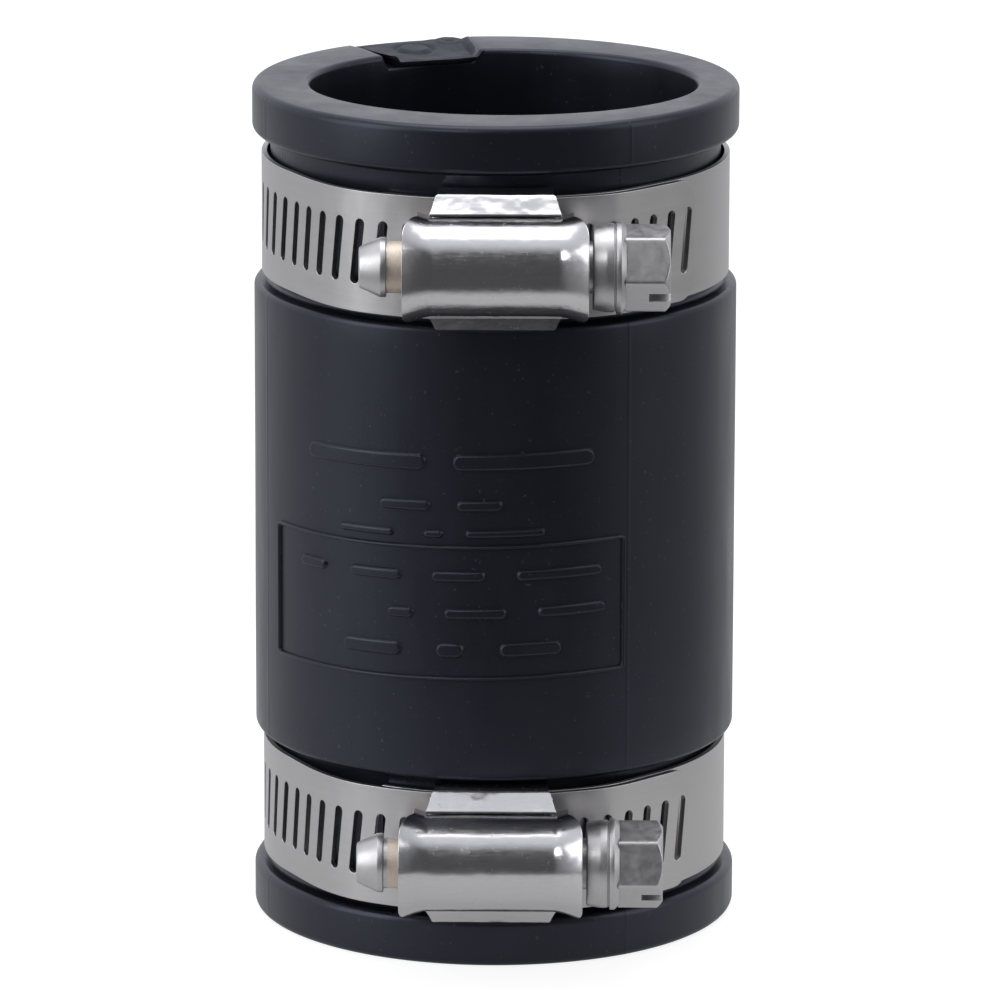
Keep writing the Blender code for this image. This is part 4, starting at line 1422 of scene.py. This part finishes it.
def make_hex_head(prefix, material):
    """Slotted hex head of one screw."""
    turn = HEAD_TURN[prefix]
    head = hex_block(prefix + "_hex_head", turn, material)
    cut_away(head, slot_cutter(prefix + "_driver_slot", turn, material))
    head.data.transform(screw_matrix(prefix))
    head.data.shade_smooth()
    head.data.set_sharp_from_angle(angle=math.radians(HEX_SHARP_DEGREES))
    hand_over(head, prefix + "_screw", "screw_steel", prefix + "_screw")


def cut_away(piece, tool):
    """Cut a tool's shape out of a piece now, and take the tool away."""
    modifier = piece.modifiers.new("trim", "BOOLEAN")
    modifier.operation = "DIFFERENCE"
    modifier.solver = "EXACT"
    modifier.object = tool
    bpy.context.view_layer.update()
    graph = bpy.context.evaluated_depsgraph_get()
    cut = bpy.data.meshes.new_from_object(piece.evaluated_get(graph))
    piece.modifiers.remove(modifier)
    piece.data = cut
    bpy.data.objects.remove(tool, do_unlink=True)


# Stage


CAMERA_DISTANCE = 0.8787
CAMERA_PITCH = 13.784
CAMERA_ROLL = 0.15
CAMERA_LENS = 298.1
SHIFT_X, SHIFT_Y = 0.0052, -0.0064
# Brightness round the object: bearing from the back by the left, the front at 0.5
SURROUNDINGS = [
    (0.0, 1.0), (0.30, 0.85), (0.372, 0.50), (0.458, 0.14), (0.5, 0.10),
    (0.60, 0.12), (0.678, 0.40), (0.80, 0.62), (0.90, 0.90), (1.0, 1.0),
]
# White paper under the object; in mirrors the floor is dark in front beyond its soft edge
PAPER_RADIUS = 0.085
PAPER_FADE = 0.03
WORLD_LEVEL = 0.6
# Upwards from here the dark front of the room fades out
CEILING_START, CEILING_END = 0.70, 0.92
FLOOR_HALF_SIZE = 3.0
# The floor's colour where it only lights the object, and where it is seen or mirrored
LIGHTING_FLOOR, SEEN_FLOOR = (0.85, 0.86, 0.88), (0.28, 0.28, 0.28)
FLOOR_GLOW = 0.86
MIRRORED_GLOW = 0.45
SKY_TINT = (0.92, 0.94, 1.0)


def make_camera():
    """Camera at the photograph's place, aimed at the middle of the sleeve."""
    data = bpy.data.cameras.new("photo_camera")
    data.lens = CAMERA_LENS
    data.sensor_width = 36.0
    data.shift_x = SHIFT_X
    data.shift_y = SHIFT_Y
    data.clip_start = 0.05
    data.clip_end = 20.0
    camera = bpy.data.objects.new("photo_camera", data)
    pitch = math.radians(CAMERA_PITCH)
    target = Vector((0.0, AXIS_Y, SLEEVE_HEIGHT / 2))
    camera.location = target + CAMERA_DISTANCE * Vector((0.0, -math.cos(pitch), math.sin(pitch)))
    tilt = Matrix.Rotation(math.pi / 2 - pitch, 4, "X")
    roll = Matrix.Rotation(math.radians(CAMERA_ROLL), 4, "Z")
    camera.matrix_world = Matrix.Translation(camera.location) @ tilt @ roll
    bpy.context.scene.collection.objects.link(camera)
    bpy.context.scene.camera = camera


def dark_front(tree, x, y):
    """1 towards the dark room in front of the object, 0 behind it, in between at its sides."""
    bearing = x.math("ARCTAN2", y * -1.0) * (0.5 / math.pi)
    brightness = ramp_of(tree, bearing + 0.5, SURROUNDINGS)
    return 1.0 - node(tree, "ShaderNodeRGBToBW", {}, {"Color": brightness})


def ray(tree, *kinds):
    """1 for rays of any of the kinds, such as Is Camera Ray."""
    found, *others = [node(tree, "ShaderNodeLightPath", {}, {}, kind) for kind in kinds]
    for other in others:
        found = found.math("MAXIMUM", other)
    return found


def make_floor():
    """Plain pale floor that keeps the object's soft shadow, and is dark in front in mirrors."""
    bm = bmesh.new()
    bmesh.ops.create_grid(bm, x_segments=1, y_segments=1, size=FLOOR_HALF_SIZE)
    mesh = bpy.data.meshes.new("floor")
    bm.to_mesh(mesh)
    bm.free()
    floor = bpy.data.objects.new("floor", mesh)
    bpy.context.scene.collection.objects.link(floor)
    material, shader = new_material("pale_floor", (0.92, 0.92, 0.92), 0.6, 0.0)
    shader.inputs["Emission Strength"].default_value = FLOOR_GLOW
    tree = material.node_tree
    x, y, _ = parts_of(tree)
    y = y - AXIS_Y
    distance = (x * x + y * y).math("SQRT")
    beyond = remap(tree, distance, PAPER_RADIUS, PAPER_RADIUS + PAPER_FADE, 0.0, 1.0)
    camera = ray(tree, "Is Camera Ray")
    pale = 1.0 - dark_front(tree, x, y) * beyond * (1.0 - camera)
    seen = ray(tree, "Is Camera Ray", "Is Glossy Ray", "Is Transmission Ray")
    glow = camera.math("MAXIMUM", seen * MIRRORED_GLOW)
    lit = mix_colour(tree, seen, LIGHTING_FLOOR, SEEN_FLOOR)
    feed(shader, "Base Color", mix_colour(tree, pale, BLACK, lit))
    feed(shader, "Emission Color", mix_colour(tree, pale * glow, BLACK, WHITE))
    mesh.materials.append(material)


def add_lamp(name, place, size, power, colour=WHITE):
    """A soft rectangular lamp that points at the middle of the sleeve."""
    data = bpy.data.lights.new(name, "AREA")
    data.shape = "RECTANGLE"
    data.size, data.size_y = size
    data.energy = power
    data.color = colour
    lamp = bpy.data.objects.new(name, data)
    lamp.location = place
    target = Vector((0.0, AXIS_Y, SLEEVE_HEIGHT / 2))
    lamp.rotation_euler = (target - Vector(place)).to_track_quat("-Z", "Y").to_euler()
    bpy.context.scene.collection.objects.link(lamp)


def make_lamps():
    """Soft boxes at both sides and above, and a small lamp at the front left."""
    add_lamp("left_softbox", (-0.75, -0.35, 0.35), (0.5, 0.8), 2.6, (0.97, 0.98, 1.0))
    add_lamp("right_softbox", (0.85, -0.25, 0.40), (0.5, 0.8), 1.6, (1.0, 0.99, 0.98))
    add_lamp("top_softbox", (0.0, 0.15, 0.95), (0.8, 0.6), 3.0)
    add_lamp("front_lamp", (-0.26, -0.60, 0.58), (0.20, 0.20), 0.65)


def make_world():
    """Pale surround, darker behind the camera so that polished metal has contrast."""
    world = bpy.data.worlds.new("studio")
    bpy.context.scene.world = world
    world.use_nodes = True
    tree = world.node_tree
    background = tree.nodes["Background"]
    x, y, height = parts_of(tree, "Generated")
    level = remap(tree, height, CEILING_START, CEILING_END, 1.0, 0.0)
    shade = 1.0 - dark_front(tree, x, y) * level
    mirrored = ray(tree, "Is Glossy Ray", "Is Transmission Ray")
    lit = shade * (WORLD_LEVEL + mirrored * (1.0 - WORLD_LEVEL))
    camera = ray(tree, "Is Camera Ray")
    feed(background, "Color", mix_colour(tree, camera, SKY_TINT, WHITE))
    feed(background, "Strength", lit.math("MAXIMUM", camera))


def set_view():
    bpy.context.scene.view_settings.view_transform = "Standard"


# Operators


class COUPLING_OT_sleeve(bpy.types.Operator):
    """Build the rubber sleeve with its rims, grooves and oval bore"""

    bl_idname = "coupling.sleeve"
    bl_label = "Rubber sleeve"

    def execute(self, context):
        make_sleeve()
        return {"FINISHED"}


class COUPLING_OT_marks(bpy.types.Operator):
    """Raise the plain frame and bars on the body, and the gate patch on the rim"""

    bl_idname = "coupling.marks"
    bl_label = "Moulded marks"

    def execute(self, context):
        make_marks()
        make_gate_patch()
        return {"FINISHED"}


class COUPLING_OT_bands(bpy.types.Operator):
    """Wind the two slotted bands round the sleeve"""

    bl_idname = "coupling.bands"
    bl_label = "Slotted bands"

    def execute(self, context):
        strip = band_material()
        pressed = housing_material("pressed_saddle_steel", SADDLE_WAVE)
        for prefix in CLAMPS:
            make_band(prefix, strip)
            make_saddle(prefix, pressed)
        return {"FINISHED"}


class COUPLING_OT_housings(bpy.types.Operator):
    """Press the two housings over the worms"""

    bl_idname = "coupling.housings"
    bl_label = "Worm housings"

    def execute(self, context):
        material = housing_material()
        for prefix in CLAMPS:
            make_housing(prefix, material)
        return {"FINISHED"}


class COUPLING_OT_screws(bpy.types.Operator):
    """Turn the two worm screws and cut their hex heads"""

    bl_idname = "coupling.screws"
    bl_label = "Worm screws"

    def execute(self, context):
        material = screw_material()
        for prefix in CLAMPS:
            make_shaft(prefix, material)
            make_hex_head(prefix, material)
        return {"FINISHED"}


class COUPLING_OT_stage(bpy.types.Operator):
    """Set up the floor, the surround, the lamps and the camera"""

    bl_idname = "coupling.stage"
    bl_label = "Stage"

    def execute(self, context):
        make_floor()
        make_world()
        make_lamps()
        make_camera()
        set_view()
        return {"FINISHED"}


class COUPLING_PT_panel(bpy.types.Panel):
    """Sidebar panel with the coupling's sizes, colours and build steps"""

    bl_idname = "COUPLING_PT_panel"
    bl_label = "Pipe coupling"
    bl_space_type = "VIEW_3D"
    bl_region_type = "UI"
    bl_category = "Coupling"

    def draw(self, context):
        for settings in (context.scene.coupling_sleeve, context.scene.coupling_clamps):
            box = self.layout.box()
            for name in settings.__annotations__:
                box.prop(settings, name)
        for step in STEPS:
            self.layout.operator(step.bl_idname)


STEPS = (
    COUPLING_OT_sleeve,
    COUPLING_OT_marks,
    COUPLING_OT_bands,
    COUPLING_OT_housings,
    COUPLING_OT_screws,
    COUPLING_OT_stage,
)
CLASSES = (SleeveSettings, ClampSettings, *STEPS, COUPLING_PT_panel)


def register():
    for item in CLASSES:
        bpy.utils.register_class(item)
    bpy.types.Scene.coupling_sleeve = PointerProperty(type=SleeveSettings)
    bpy.types.Scene.coupling_clamps = PointerProperty(type=ClampSettings)


def unregister():
    del bpy.types.Scene.coupling_clamps
    del bpy.types.Scene.coupling_sleeve
    for item in reversed(CLASSES):
        bpy.utils.unregister_class(item)


def main():
    register()
    for step in STEPS:
        group, name = step.bl_idname.split(".")
        getattr(getattr(bpy.ops, group), name)()


if __name__ == "__main__":
    main()
